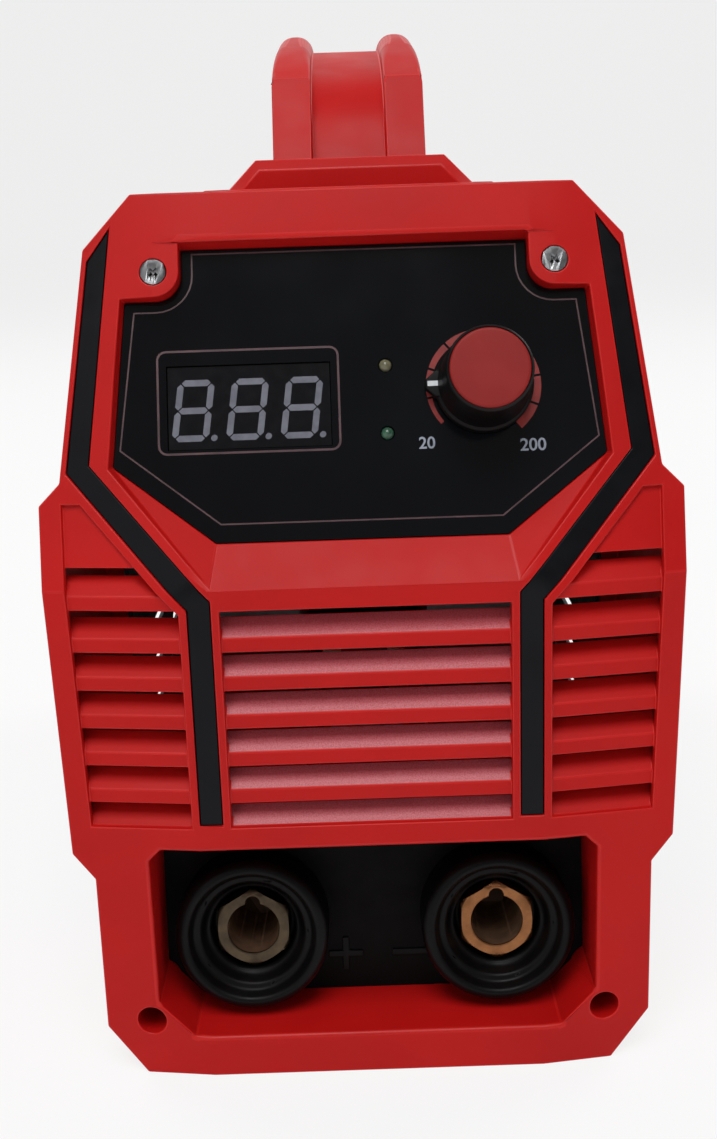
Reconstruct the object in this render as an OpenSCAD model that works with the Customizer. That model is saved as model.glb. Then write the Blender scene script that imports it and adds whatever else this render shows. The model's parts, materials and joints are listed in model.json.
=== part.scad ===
// Stick welding inverter: moulded front and rear bezels on a folded steel case, with a carrying handle.
// X runs to the right, Y from the front to the back and Z up.
// The origin is under the middle of the footprint.

/* [Body] */
// Length from the nose of the front bezel to the back of the rear bezel
body_len = 300; // [280:1:340]
// Width across the louvred flanks
body_w = 150; // [148:1:170]
// Step in from the widest part to the foot, on each side
foot_inset = 7.4; // [5:0.1:9]
// Step in from the widest part to the flank's lower end, on each side
flank_inset = 2.2; // [1:0.1:3.5]
// Step in from the widest part to the shoulder, on each side
shoulder_inset = 5; // [3:0.5:7]
// Step in from the widest part to the crown, on each side
crown_inset = 11.5; // [9:0.5:13]
// Step in from the widest part to the flat top, on each side
top_inset = 23; // [21:0.5:26]
// Height of the bezels
body_h = 213.2; // [207:0.2:228]
// Height of the chamfer between the sides and the flat top
crown_drop = 12.3; // [9:0.1:14]
// Depth of the shoulder under the top
shoulder_drop = 69.3; // [66.5:0.1:72.5]
// Height of the sloped shoulder
shoulder_rise = 5; // [3:0.5:8]
// Height where the foot starts to widen into the flanks
foot_z = 52.8; // [46:0.1:56]
// Height of the slope between foot and flank
foot_rise = 6.5; // [4:0.5:9]
// Width of the chamfer on the bottom corners
toe_w = 9.5; // [6:0.5:12]
// Height of the chamfer on the bottom corners
toe_h = 12.5; // [9:0.5:16]
// Moulded wall
wall = 3; // [2.4:0.1:3.6]
// Depth of each bezel
bezel_depth = 78; // [78:1:90]
// How far the case reaches into each bezel
rim_overlap = 6; // [5:0.5:7]
// Gap between the case and the bezel around it
case_gap = 0.3; // [0.2:0.05:0.6]

/* [Front face] */
// Depth of the nose under the top
nose_drop = 87.9; // [85.5:0.1:90.5]
// Lean of the control face from the vertical
face_tilt = 19.9; // [17:0.1:23]
// Angle by which the flanks sweep back
flank_sweep = 8; // [4:0.5:10]
// Half width of the flat middle of the front
flank_start = 41; // [36:0.5:46]

/* [Louvres] */
// Plain band between the nose and the highest middle slit
bank_gap = 4.9; // [4:0.1:7]
// Full slats in each bank
slat_rows = 5; // [3:1:5]
// Height of a slat's front lip
slat_lip = 3.5; // [3:0.1:4.6]
// Depth of a slat behind its lip
slat_depth = 4.8; // [3.6:0.1:6]
// Slope of a slat's upper face
slat_slope = 40; // [30:1:48]
// Thickness of a slat behind its lip
slat_t = 2.4; // [1.8:0.1:3]
// How far the lips lie behind the face
slat_set = 1.2; // [0.6:0.1:2]
// Height of the sill under the lowest slat
sill_z = 66.7; // [65.5:0.1:68]
// Half width of the middle bank
bank_half = 33.5; // [30:0.5:35]
// Inner edge of a side bank
side_bank_x = 42.9; // [42.5:0.1:46]
// Frame left outside a side bank
side_bank_margin = 5.4; // [4:0.1:8]
// Open slit above the top full slat
top_slit = 0.8; // [0.4:0.1:1.4]
// Height of the side bank's corner above the nose
bank_peak = 19; // [15:0.5:20]

/* [Trim strips] */
// Width of a strip
trim_w = 5.3; // [4:0.1:6]
// Thickness of a strip
trim_t = 1.6; // [1.2:0.1:2]
// How far a strip lies below the face
trim_set = 0.4; // [0.2:0.1:0.8]
// Room around a strip in its groove
trim_gap = 0.12; // [0.08:0.01:0.25]
// Middle of the lower leg of a strip
trim_x = 38.2; // [37.6:0.1:39]
// Bottom of a strip
trim_foot_z = 67.5; // [64:0.5:71]
// Depth of the strip's lower bend under the nose
trim_bend_drop = 3.5; // [1.5:0.5:5.5]
// Distance of the strip's upper bend in from the shoulder
trim_elbow_inset = 4.4; // [3.5:0.1:6]
// Height of the strip's upper bend over the nose
trim_elbow_rise = 26.6; // [25:0.1:28.5]
// Distance of the strip's top in from the crown
trim_top_inset = 3.7; // [3:0.1:5]
// Depth of the strip's top under the top of the body
trim_top_drop = 15; // [13.5:0.5:21.5]
// Length of the point
trim_tip = 7.1; // [4:0.1:7.4]
// Width of the ridge between a strip and a bank
ridge_w = 2.2; // [1.6:0.1:3]

/* [Control panel] */
// Depth of the panel below the control face
panel_recess = 5; // [4:0.1:6]
// Thickness of the panel
panel_t = 1.6; // [1.2:0.1:2.4]
// Width of the panel's bottom edge
panel_foot_w = 67.8; // [62:0.2:70]
// Distance of the bottom edge up the face from the nose
panel_foot_s = 11.7; // [10:0.1:14]
// Distance of the panel's widest corners in from the crown
panel_elbow_inset = 6.1; // [5.7:0.1:7.5]
// Distance of the elbows up the face
panel_elbow_s = 30.1; // [29:0.1:32]
// Distance of the panel's top corners in from the crown
panel_top_inset = 10.5; // [10:0.1:11.5]
// Distance of the top edge up the face
panel_top_s = 81.2; // [80:0.1:83]
// Room around the panel in its pocket
panel_gap = 0.2; // [0.1:0.05:0.4]
// How far the pocket's mouth flares beyond the panel
mouth_flare = 1.5; // [1:0.1:1.8]
// Distance of the pocket's lower edge from the nose
mouth_s = 0.8; // [0.5:0.1:2]
// Thickness of the pocket's floor
floor_t = 2.4; // [2:0.1:3]
// Distance of the corner screws in from the panel's top corners
screw_inset = 6.2; // [5:0.1:7]
// Distance of the corner screws up the face
screw_s = 75.2; // [74:0.1:77]
// Diameter of the corner screws
panel_screw_d = 3; // [2.5:0.1:3.5]
// Radius of the corners around the screws
boss_r = 6; // [5.5:0.1:7]
// How far these corners lie below the control face
boss_set = 0.8; // [0.4:0.1:1.5]
// Distance from the pocket's floor to the control board
board_drop = 5.4; // [4:0.1:7]
// Thickness of the circuit boards
board_t = 1.6; // [1.2:0.1:2]
// Distance of the display's middle in from the panel's side
display_inset = 31.9; // [30.4:0.1:33.4]
// Distance of the window's middle up the face
display_s = 43.6; // [42:0.1:46]
// Width of the display window
display_w = 38.4; // [36:0.1:40]
// Height of the display window
display_h = 20; // [18:0.1:22]
// How far the display's face lies below the panel's face
display_set = 0.5; // [0.2:0.1:1]
// Middle of the indicator lamps
lamp_x = 6.6; // [5:0.1:8]
// Distance of the lower lamp up the face
lamp_low_s = 36.1; // [34:0.1:38]
// Distance of the upper lamp up the face
lamp_high_s = 52.2; // [50:0.1:54]
// Diameter of a lamp
lamp_d = 3; // [2.6:0.1:4]
// Height of a lamp's dome above the panel
lamp_rise = 0.9; // [0.5:0.1:1.4]

/* [Current knob] */
// Distance of the knob in from the panel's side
knob_inset = 28; // [26.5:0.1:29.4]
// Distance of the knob up the face
knob_s = 46.7; // [45:0.1:48]
// Diameter of the knob's skirt
knob_skirt_d = 23; // [21:0.5:25]
// Diameter of the knob's body under the cap
knob_top_d = 20.8; // [19:0.1:22]
// Diameter of the cap
knob_cap_d = 19.4; // [17:0.1:20.4]
// Thickness of the cap
knob_cap_t = 1.6; // [1:0.1:2.4]
// Height of the knob above the panel
knob_h = 18.7; // [16:0.1:21]
// Height of the knob's skirt
knob_skirt_h = 3.2; // [2.4:0.1:4]
// Gap between the knob and the panel
knob_gap = 0.7; // [0.4:0.1:1.2]
// Length of the pointer beyond the skirt
pointer_len = 2.2; // [1.4:0.1:3]
// Width of the pointer at the skirt
pointer_w = 6; // [4:0.1:8]
// Diameter of the control's shaft
shaft_d = 6; // [5:0.5:6.4]
// Radial clearance of the shaft in its bush
shaft_gap = 0.05; // [0.02:0.01:0.09]
// Diameter of the control's threaded bush
bush_d = 7.6; // [7.4:0.1:9]
// Diameter of the control's can
pot_d = 16.5; // [15:0.5:18]

/* [Output sockets] */
// Wall between the recess and the side of the foot
recess_inset = 13.6; // [13:0.1:15.6]
// Chamfer on the recess's lower corners
recess_toe = 8.7; // [7:0.1:10]
// Chamfer on the recess's upper corners
recess_brow = 3; // [2:0.5:5]
// Height of the recess's ledge
ledge_z = 10.8; // [10:0.1:12.5]
// Height of the recess's top
recess_top = 60.8; // [58:0.2:62]
// Depth of the ledge
ledge_depth = 21.5; // [17:0.5:24]
// Wall of the recess
tunnel_wall = 2.4; // [2:0.1:2.8]
// Lean of the socket plate from the vertical
plate_tilt = 7.7; // [5:0.1:12]
// Thickness of the socket plate
plate_t = 3; // [2.4:0.1:4]
// Distance of each socket in from the side of the recess
socket_inset = 23; // [22:0.1:26]
// Distance of the sockets up the plate from the ledge
socket_s = 19.9; // [19.6:0.1:22]
// Diameter of a socket's insulating flange
flange_d = 38.4; // [36:0.1:38.6]
// Length of the flange in front of the plate
flange_h = 14.5; // [13:0.5:17]
// How far the brass face lies in front of the plate
insert_rise = 8.5; // [7:0.5:10]
// Width across the flats of the brass hexagon
insert_af = 18; // [17:0.5:18.5]
// Diameter of the socket bore
insert_bore_d = 13; // [12:0.1:13.4]
// Depth of the socket bore
insert_bore_len = 28; // [24:0.5:30]
// Diameter of the brass body behind the hexagon
insert_body_d = 17.6; // [17:0.1:18]
// Room around the brass body in flange and plate
insert_gap = 0.15; // [0.05:0.05:0.3]
// Height of a foot screw from the floor
foot_screw_z = 14.7; // [14:0.1:17]
// Distance of the foot screws in from the side of the foot
foot_screw_inset = 11.4; // [11.1:0.1:12]
// Diameter of a foot screw's recess
foot_hole_d = 7.2; // [7:0.1:7.6]
// Outside diameter of the foot screws' tubes
foot_tube_d = 10.6; // [10.4:0.1:11]

/* [Handle] */
// Width of the handle
handle_w = 38.5; // [34:0.5:44]
// Width of each of the handle's two rails
rail_w = 9.8; // [8:0.1:11]
// Height of the handle over the body
handle_rise = 43.5; // [38:0.5:50]
// Height of the crease over the body
crease_rise = 27.3; // [24:0.1:31]
// Lean of the leg, from its foot to the crease
crease_run = 12; // [9:0.5:18]
// Distance of the leg's front from the case
leg_lead = 10; // [9:0.5:12]
// Thickness of the leg
leg_t = 13; // [10:0.5:14]
// Thickness of the grip
grip_t = 10; // [9:0.5:14]
// How far the web lies below the rails
web_set = 4.5; // [3:0.1:6]
// Room around the leg in its seat
leg_gap = 0.25; // [0.15:0.05:0.4]
// Length of the seat in front of the leg
hump_lead = 16; // [12:0.5:16.5]
// Width of the leg seat at its foot
hump_w = 60; // [56:0.5:64]
// Width of the leg seat at its top
hump_top_w = 46; // [44:0.2:52]
// Height of the leg seat
hump_h = 7; // [5:0.1:8]
// Chamfer around the front of the leg seat
hump_chamfer = 2.4; // [1.5:0.1:3]

/* [Case] */
// Thickness of the sheet steel
sheet_t = 1; // [0.8:0.1:1.4]
// Height of the tray's sides
tray_h = 34; // [30:1:40]
// Height of the cover's lower edge
cover_low = 22; // [20:0.5:26]
// Height of the lowest vent slot
vent_z = 62; // [50:1:70]
// Height from one vent slot to the next
vent_pitch = 11; // [9:0.5:13]
// Vent slots in a column
vent_rows = 8; // [5:1:8]
// Height of a vent slot
vent_h = 4; // [3:0.1:5]
// Length of a vent slot
vent_len = 46; // [36:1:50]
// Diameter of the small fixing screws
screw_d = 4; // [3.4:0.1:4.4]
// Radial room of a screw in its hole
screw_gap = 0.15; // [0.1:0.01:0.25]

/* [Fan] */
// Size of the square fan frame
fan_size = 92; // [88:1:96]
// Thickness of the fan frame
fan_t = 25; // [23:1:28]
// Gap between the inlet recess and the fan
fan_lift = 7; // [4:0.5:11]
// Distance between the fan's screw holes
fan_pitch = 82.5; // [80:0.5:83]
// Diameter of the fan's air way
fan_bore = 87; // [82:0.5:88]
// Diameter of the fan's hub
fan_hub_d = 36; // [30:1:40]
// Number of blades
blade_count = 7; // [5:1:9]
// Gap between the blades' tips and the air way
blade_gap = 1; // [0.6:0.1:2]
// Thickness of a blade
blade_t = 1.6; // [1.2:0.1:2.2]
// Diameter of the fan's shaft
fan_shaft_d = 3; // [2.5:0.5:4]
// Rings in the grille
grille_rings = 4; // [3:1:4]
// Width of a grille bar
grille_bar = 2.8; // [2:0.1:3.4]

/* [Rear inlet] */
// Depth of the rear recess
inlet_depth = 26; // [24:0.5:30]
// Thickness of the inlet plate
inlet_t = 2; // [1.5:0.1:3]
// Sideways place of the rocker switch
switch_x = -28; // [-31:0.5:-26]
// Height of the switch and the gland
inlet_z = 36; // [34:0.5:40]
// Width of the switch opening
switch_w = 22; // [20:0.5:24]
// Height of the switch opening
switch_h = 28; // [27:0.5:31]
// Depth of the switch body behind its plate
switch_depth = 22; // [20:0.5:26]
// Radius of the rocker about its pivot
rocker_r = 11.2; // [10.6:0.1:11.4]
// Gap between the rocker and its frame
rocker_gap = 0.4; // [0.3:0.05:0.6]
// Tilt of the rocker to each side
rocker_tilt = 9; // [6:0.5:11]
// Sideways place of the cable gland
gland_x = 28; // [26:0.5:31]
// Diameter of the gland's thread
gland_d = 20; // [18:0.5:22]
// Diameter of the gland's bore
gland_bore = 11; // [9:0.5:12]
// Diameter of the earth stud
earth_d = 6; // [5:0.5:8]

/* [Power stage] */
// Height of the main board's standoffs
standoff_h = 5; // [4:0.5:7]
// Distance of the main board in from the side of the foot
board_inset = 16.5; // [14.5:0.5:18.5]
// Gap between the main board and each bezel's rear edge
board_end_gap = 14; // [10:1:20]
// Height of the heat sinks
sink_h = 82; // [70:1:90]
// Half width of the lane between the heat sinks
lane_half = 20; // [18:0.5:24]
// Gap at each end of the heat sinks
sink_gap = 7; // [4:0.5:14]
// Fins on a heat sink
sink_fins = 7; // [5:1:7]
// Thickness of a heat sink's back plate
sink_back = 5; // [4:0.5:7]
// Diameter of a reservoir capacitor
capacitor_d = 22; // [18:0.5:23]
// Height of a reservoir capacitor
capacitor_h = 40; // [30:1:50]
// Height of the transformer's core
core_h = 46; // [40:1:54]
// Gap between the capacitors and the transformer
core_gap = 13; // [11:1:19]
// Thickness of the copper bars
bar_t = 3; // [2:0.5:4]
// Width of the copper bars
bar_w = 18; // [16:0.5:22]

/* [Hidden] */
$fn = 48;
eps = 0.01;
reach = 2 * body_len;
far = body_w;
RED = [0.70, 0.12, 0.13];
BLACK = [0.08, 0.08, 0.09];
STEEL = [0.66, 0.67, 0.69];
BRASS = [0.72, 0.55, 0.30];
COPPER = [0.72, 0.42, 0.26];
BOARD = [0.10, 0.32, 0.20];

// Outlines run counter-clockwise from the bottom right.
function both(right) =
    concat(right, [for (i = [len(right) - 1:-1:0]) [-right[i][0], right[i][1]]]);
function unit(v) = v / norm(v);
function inward(p, i) =
    let (e = unit(p[(i + 1) % len(p)] - p[i]))
    [-e[1], e[0]];
function inset(p, d) = [
    for (i = [0:len(p) - 1])
        let (a = inward(p, (i + len(p) - 1) % len(p)), b = inward(p, i))
        p[i] + d * (a + b) / (1 + a * b)
];

foot_w = body_w - 2 * foot_inset;
shoulder_w = body_w - 2 * shoulder_inset;
crown_w = body_w - 2 * crown_inset;
top_w = body_w - 2 * top_inset;
crown_z = body_h - crown_drop;
shoulder_z = body_h - shoulder_drop;
nose_z = body_h - nose_drop;
foot_right = [[foot_w / 2 - toe_w, 0], [foot_w / 2, toe_h]];
crown_right = [[shoulder_w / 2, shoulder_z + shoulder_rise], [crown_w / 2, crown_z], [top_w / 2, body_h]];
body_outline = both(concat(
    foot_right,
    [[foot_w / 2, foot_z], [body_w / 2 - flank_inset, foot_z + foot_rise], [body_w / 2, shoulder_z]],
    crown_right
));
case_outline = inset(both(concat(foot_right, crown_right)), wall + case_gap);

// All is measured back from the nose, then moved to put the origin under the middle.
module place() translate([0, -body_len / 2, 0]) children();
module on_face() translate([0, 0, nose_z]) rotate([90 - face_tilt, 0, 0]) children();
module on_plate() translate([0, ledge_depth, ledge_z]) rotate([90 - plate_tilt, 0, 0]) children();
module from_back() translate([0, body_len, 0]) mirror([0, 1, 0]) children();
module pair() {
    children();
    mirror([1, 0, 0]) children();
}
module prism(points, y0, y1)
    translate([0, y1, 0]) rotate([90, 0, 0]) linear_extrude(y1 - y0) polygon(points);
module rod(d, y0, y1)
    translate([0, y0, 0]) rotate([-90, 0, 0]) cylinder(d = d, h = y1 - y0);

// The body within its swept front, leaning face and front outline
module plan_wedge(flat, skin)
    translate([0, skin, -1])
        linear_extrude(body_h + 2)
            polygon(both([[flat, 0], [far, (far - flat) * tan(flank_sweep)], [far, reach]]));
module face_wedge(skin) {
    fall = (far - flank_start) * tan(flank_sweep) * cos(face_tilt);
    on_face()
        translate([0, reach, -skin])
            rotate([90, 0, 0])
                linear_extrude(2 * reach)
                    polygon(both([[far, -reach], [far, -fall], [flank_start, 0]]));
}
module front_envelope(depth, d, skin)
    intersection() {
        prism(inset(body_outline, d), -1, depth);
        plan_wedge(flank_start, skin);
        face_wedge(skin);
    }
module rear_envelope(depth, d, skin)
    intersection() {
        prism(inset(body_outline, d), -1, depth);
        plan_wedge(fan_size / 2 + 1, skin);
    }

// Places and parts that both bezels share
rim_y = bezel_depth - rim_overlap;
tray_top = wall + case_gap + 2 * sheet_t;
recess_w = foot_w - 2 * recess_inset;
recess_outline = both([
    [recess_w / 2 - recess_toe, ledge_z],
    [recess_w / 2, ledge_z + recess_toe],
    [recess_w / 2, recess_top - recess_brow],
    [recess_w / 2 - recess_brow, recess_top]
]);
tunnel_outline = inset(recess_outline, -tunnel_wall);
ear_r = 3.6;
ear_depth = 12;
ear_screw_d = 2.6;
ear_x = recess_w / 2 + tunnel_wall + ear_r - 1;
ear_low = ledge_z + recess_toe + 2 * ear_r;
ear_high = recess_top - recess_brow - 4 * ear_r;

// A tube with a deep recess for the long screw that clamps a bezel to the tray's tab
foot_screw_x = foot_w / 2 - foot_screw_inset;
foot_seat = rim_y - 6;
foot_head_h = 3;
module at_foot_screws() pair() translate([foot_screw_x, 0, foot_screw_z]) children();
module foot_tubes() at_foot_screws() rod(foot_tube_d, -1, rim_y);
module foot_room() at_foot_screws() rod(foot_tube_d + 2 * screw_gap, 0, bezel_depth);
module foot_holes()
    at_foot_screws() {
        rod(foot_hole_d, -1, foot_seat);
        rod(screw_d + 2 * screw_gap, foot_seat - 1, rim_y + 1);
    }
module foot_screw_pair()
    at_foot_screws() {
        rod(foot_hole_d - 4 * screw_gap, foot_seat - foot_head_h, foot_seat);
        rod(screw_d, foot_seat - eps, rim_y + 2 * screw_d);
    }

// The seat that takes a leg of the handle, with a chamfered front
leg_y = rim_y - leg_lead;
hump_y = leg_y - hump_lead;
hump_top = body_h + hump_h;
hump_root = 3;
hump_spread = (hump_w - hump_top_w) / 2 / hump_h;
hump_outline = both([
    [hump_w / 2 + hump_root * hump_spread, body_h - hump_root],
    [hump_top_w / 2, hump_top]
]);
module hump()
    intersection() {
        hull() {
            prism(hump_outline, hump_y + hump_chamfer, bezel_depth);
            prism(inset(hump_outline, hump_chamfer), hump_y, hump_y + eps);
        }
        translate([-far, 0, body_h - wall / 2]) cube([2 * far, reach, far]);
    }
leg_screw_x = (handle_w - rail_w) / 2;
leg_screw_y = leg_y + screw_d + 1;
module leg_slot()
    translate([-handle_w / 2 - leg_gap, leg_y - leg_gap, body_h])
        cube([handle_w + 2 * leg_gap, leg_t + 2 * leg_gap, hump_h + 1]);
module leg_screw_holes()
    pair()
        translate([leg_screw_x, leg_screw_y, body_h - wall - 1])
            cylinder(d = screw_d + 2 * screw_gap, h = wall + 2);
module rim_opening() prism(inset(case_outline, -case_gap), rim_y - eps, bezel_depth + 1);
module tray_rest()
    translate([-foot_w / 4, rim_y + 1, wall - eps])
        cube([foot_w / 2, rim_overlap - 2, case_gap + sheet_t + eps]);

// Trim strips follow the front in a bent band that ends in a point
trim_bend_z = nose_z - trim_bend_drop;
trim_elbow_x = shoulder_w / 2 - trim_elbow_inset;
trim_elbow_z = nose_z + trim_elbow_rise;
trim_top_x = crown_w / 2 - trim_top_inset;
trim_top_z = body_h - trim_top_drop;
trim_diag = atan2(trim_elbow_x - trim_x, trim_elbow_z - trim_bend_z);
trim_lean = atan2(trim_top_x - trim_elbow_x, trim_top_z - trim_elbow_z);
function miter(a, b) = trim_w / 2 * tan((a + b) / 2);
bend_cut = miter(0, trim_diag);
elbow_cut = miter(trim_diag, trim_lean);
trim_out = trim_x + trim_w / 2;
trim_in = trim_x - trim_w / 2;
trim_outline = [
    [trim_out, trim_foot_z],
    [trim_out, trim_bend_z - bend_cut],
    [trim_elbow_x + trim_w / 2, trim_elbow_z - elbow_cut],
    [trim_top_x + trim_w / 2, trim_top_z],
    [trim_top_x - trim_w / 2, trim_top_z + trim_tip],
    [trim_elbow_x - trim_w / 2, trim_elbow_z + elbow_cut],
    [trim_in, trim_bend_z + bend_cut],
    [trim_in, trim_foot_z]
];
module trim_band(points, y0, y1)
    intersection() {
        prism(points, -1, bezel_depth);
        difference() {
            translate([0, y0, 0]) front_envelope(bezel_depth, 0, 0);
            translate([0, y1, 0]) front_envelope(bezel_depth, 0, 0);
        }
    }
module trim_groove() trim_band(inset(trim_outline, -trim_gap), -1, trim_set + trim_t);
module trim_strip() trim_band(trim_outline, trim_set, trim_set + trim_t);

// Louvres: a middle bank between the strips, and side banks beside them
slat_pitch = (nose_z - bank_gap - top_slit - sill_z + slat_lip) / (slat_rows + 1);
function slat_low(k) = sill_z - slat_lip + slat_pitch * (k + 1);
slat_rise = slat_depth * tan(slat_slope);
top_lip = slat_low(slat_rows) + top_slit;
corner_low = top_lip + slat_pitch + top_slit / 2;
bank_edge_z = trim_bend_z - bend_cut - ridge_w / sin(trim_diag);
bank_top = nose_z + bank_peak;
side_bank_out = body_w / 2 - side_bank_margin;
side_bank = [
    [side_bank_x, sill_z],
    [side_bank_out - flank_inset, sill_z],
    [side_bank_out, bank_top],
    [trim_out + (bank_top - bank_edge_z) * tan(trim_diag), bank_top],
    [side_bank_x, bank_edge_z + (side_bank_x - trim_out) / tan(trim_diag)]
];
middle_bank = both([[bank_half, sill_z], [bank_half, top_lip]]);
bank_root = 0.5;
module slat()
    rotate([90, 0, 90])
        linear_extrude(far)
            polygon([
                [slat_set, 0],
                [slat_set, slat_lip],
                [slat_set + slat_depth, slat_lip + slat_rise],
                [slat_set + slat_depth, slat_lip + slat_rise - slat_t],
                [slat_set + slat_t, slat_lip + slat_t * tan(slat_slope) - slat_t],
                [slat_set + slat_t, 0]
            ]);
module slat_column() for (k = [-1:slat_rows - 1]) translate([0, 0, slat_low(k)]) slat();
module side_slats()
    intersection() {
        translate([flank_start, 0, 0])
            rotate([0, 0, flank_sweep]) {
                slat_column();
                translate([0, 0, top_lip]) slat();
            }
        prism(inset(side_bank, -bank_root), -1, bezel_depth);
    }
module corner_slat()
    intersection() {
        difference() {
            front_envelope(bezel_depth, wall / 2, slat_set);
            front_envelope(bezel_depth, wall / 2, slat_set + slat_t);
        }
        prism(inset(side_bank, -bank_root), -1, bezel_depth);
        translate([0, -1, corner_low]) cube([far, bezel_depth, far]);
    }
module middle_slats()
    intersection() {
        translate([-far / 2, 0, 0]) slat_column();
        prism(inset(middle_bank, -bank_root), -1, bezel_depth);
    }

// Control panel and its flared pocket
panel_elbow_w = crown_w - 2 * panel_elbow_inset;
panel_top_w = crown_w - 2 * panel_top_inset;
screw_x = panel_top_w / 2 - screw_inset;
display_x = display_inset - panel_elbow_w / 2;
knob_x = panel_elbow_w / 2 - knob_inset;
panel_outline = both([
    [panel_foot_w / 2, panel_foot_s],
    [panel_elbow_w / 2, panel_elbow_s],
    [panel_top_w / 2, panel_top_s]
]);
mouth_outline = both([
    [panel_foot_w / 2 + mouth_flare, mouth_s],
    [panel_elbow_w / 2 + mouth_flare, panel_elbow_s - mouth_flare],
    [panel_top_w / 2 + mouth_flare / 2, panel_top_s + mouth_flare / 2]
]);
panel_back = -panel_recess - panel_t;
floor_back = panel_back - floor_t;
board_front = floor_back - board_drop;
board_back = board_front - board_t;
window_rim = 3;
floor_low = min(display_s - display_h / 2, knob_s - pot_d / 2) - window_rim;
floor_high = max(display_s + display_h / 2, knob_s + pot_d / 2) + window_rim;
floor_left = display_x - display_w / 2 - window_rim;
floor_right = knob_x + pot_d / 2 + window_rim;
post_d = 6;
post_x = panel_foot_w / 2 - post_d;
post_s = floor_low - post_d;
screw_head_d = 2 * panel_screw_d;
screw_head_h = 0.75 * panel_screw_d;
screw_neck_r = 1.7 * panel_screw_d;
head_seat = -boss_set - screw_head_h - screw_gap;
module slab(points, z0, z1) translate([0, 0, z0]) linear_extrude(z1 - z0) polygon(points);
module at_panel_screws() on_face() pair() translate([screw_x, screw_s, 0]) children();
module pocket_block()
    intersection() {
        on_face()
            hull() {
                slab(inset(panel_outline, -wall), floor_back, floor_back + eps);
                slab(inset(mouth_outline, -wall), -eps, 0);
            }
        front_envelope(bezel_depth, 0, 0);
    }
module pocket_cut()
    on_face() {
        hull() {
            slab(inset(panel_outline, -panel_gap), -panel_recess, -panel_recess + eps);
            slab(mouth_outline, 0, 1);
        }
        slab(inset(panel_outline, -panel_gap), panel_back, -panel_recess + eps);
        translate([floor_left, floor_low, floor_back - 1])
            cube([floor_right - floor_left, floor_high - floor_low, floor_t + 2]);
    }
// Rounded corner that stays in the pocket around a screw
module screw_lobe(r) {
    circle(r = r);
    translate([0, -r]) square(far);
    translate([-r, 0]) square(far);
}
module screw_lobes()
    at_panel_screws()
        translate([0, 0, panel_back - 1]) linear_extrude(1 - boss_set - panel_back) screw_lobe(boss_r);
module panel_posts() {
    at_panel_screws()
        translate([0, 0, board_front]) cylinder(r = screw_neck_r, h = panel_back - board_front);
    on_face() pair() translate([post_x, post_s, board_front]) cylinder(d = post_d, h = board_drop + eps);
}
module panel_screw_holes()
    at_panel_screws() {
        translate([0, 0, head_seat]) cylinder(d = screw_head_d + 2 * screw_gap, h = 2 * wall);
        translate([0, 0, board_front - 1])
            cylinder(d = panel_screw_d + 2 * screw_gap, h = head_seat - board_front + 2);
    }

// The walls around the socket recess, and the ears that take the socket plate's screws
module at_plate_ears()
    on_plate()
        pair()
            for (z = [ear_low, ear_high]) translate([ear_x, (z - ledge_z) / cos(plate_tilt), 0]) children();
module socket_tunnel()
    intersection() {
        union() {
            prism(tunnel_outline, -1, bezel_depth);
            at_plate_ears() cylinder(r = ear_r, h = ear_depth);
        }
        front_envelope(bezel_depth, 0, 0);
        on_plate() translate([-far, -far, 0]) cube(2 * far);
    }
module front_bezel() {
    color(RED)
        place() {
            difference() {
                union() {
                    difference() {
                        front_envelope(bezel_depth, 0, 0);
                        front_envelope(rim_y, wall, wall);
                        rim_opening();
                    }
                    pocket_block();
                    socket_tunnel();
                    intersection() {
                        foot_tubes();
                        front_envelope(bezel_depth, 0, 0);
                    }
                    tray_rest();
                    hump();
                }
                difference() {
                    pocket_cut();
                    screw_lobes();
                }
                prism(recess_outline, -2, bezel_depth / 2);
                foot_holes();
                at_plate_ears()
                    translate([0, 0, -1]) cylinder(d = ear_screw_d + 2 * screw_gap, h = ear_depth - 1);
                leg_slot();
                leg_screw_holes();
                pair() trim_groove();
                pair() prism(side_bank, -1, rim_y / 2);
                prism(middle_bank, -1, rim_y / 2);
                panel_screw_holes();
            }
            pair() side_slats();
            pair() corner_slat();
            middle_slats();
            difference() {
                panel_posts();
                panel_screw_holes();
            }
        }
}
module left_trim_strip() color(BLACK) place() mirror([1, 0, 0]) trim_strip();
module right_trim_strip() color(BLACK) place() trim_strip();

module control_panel() {
    color(BLACK)
        place()
            difference() {
                on_face() slab(panel_outline, panel_back, -panel_recess);
                at_panel_screws()
                    translate([0, 0, panel_back - 1])
                        linear_extrude(panel_t + 2) screw_lobe(boss_r + panel_gap);
                on_face()
                    translate([0, 0, panel_back - 1]) {
                        translate([display_x - display_w / 2, display_s - display_h / 2, 0])
                            cube([display_w, display_h, panel_t + 2]);
                        for (s = [lamp_low_s, lamp_high_s])
                            translate([lamp_x, s, 0]) cylinder(d = lamp_d + 2 * panel_gap, h = panel_t + 2);
                        translate([knob_x, knob_s, 0]) cylinder(d = bush_d + 2 * panel_gap, h = panel_t + 2);
                    }
            }
}
module display_module() {
    size = [display_w - 2 * panel_gap, display_h - 2 * panel_gap, -panel_recess - display_set - board_front];
    color([0.16, 0.16, 0.17])
        place()
            on_face()
                translate([display_x - size[0] / 2, display_s - size[1] / 2, board_front]) cube(size);
}
module control_board() {
    color(BOARD)
        place()
            difference() {
                on_face()
                    translate([-screw_x - post_d, post_s - post_d, board_back])
                        cube([2 * (screw_x + post_d), screw_s - post_s + 2 * post_d, board_t]);
                at_panel_screws()
                    translate([0, 0, board_back - 1])
                        cylinder(d = panel_screw_d + 2 * screw_gap, h = board_t + 2);
            }
}
board_nut_h = 0.8 * panel_screw_d;
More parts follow.
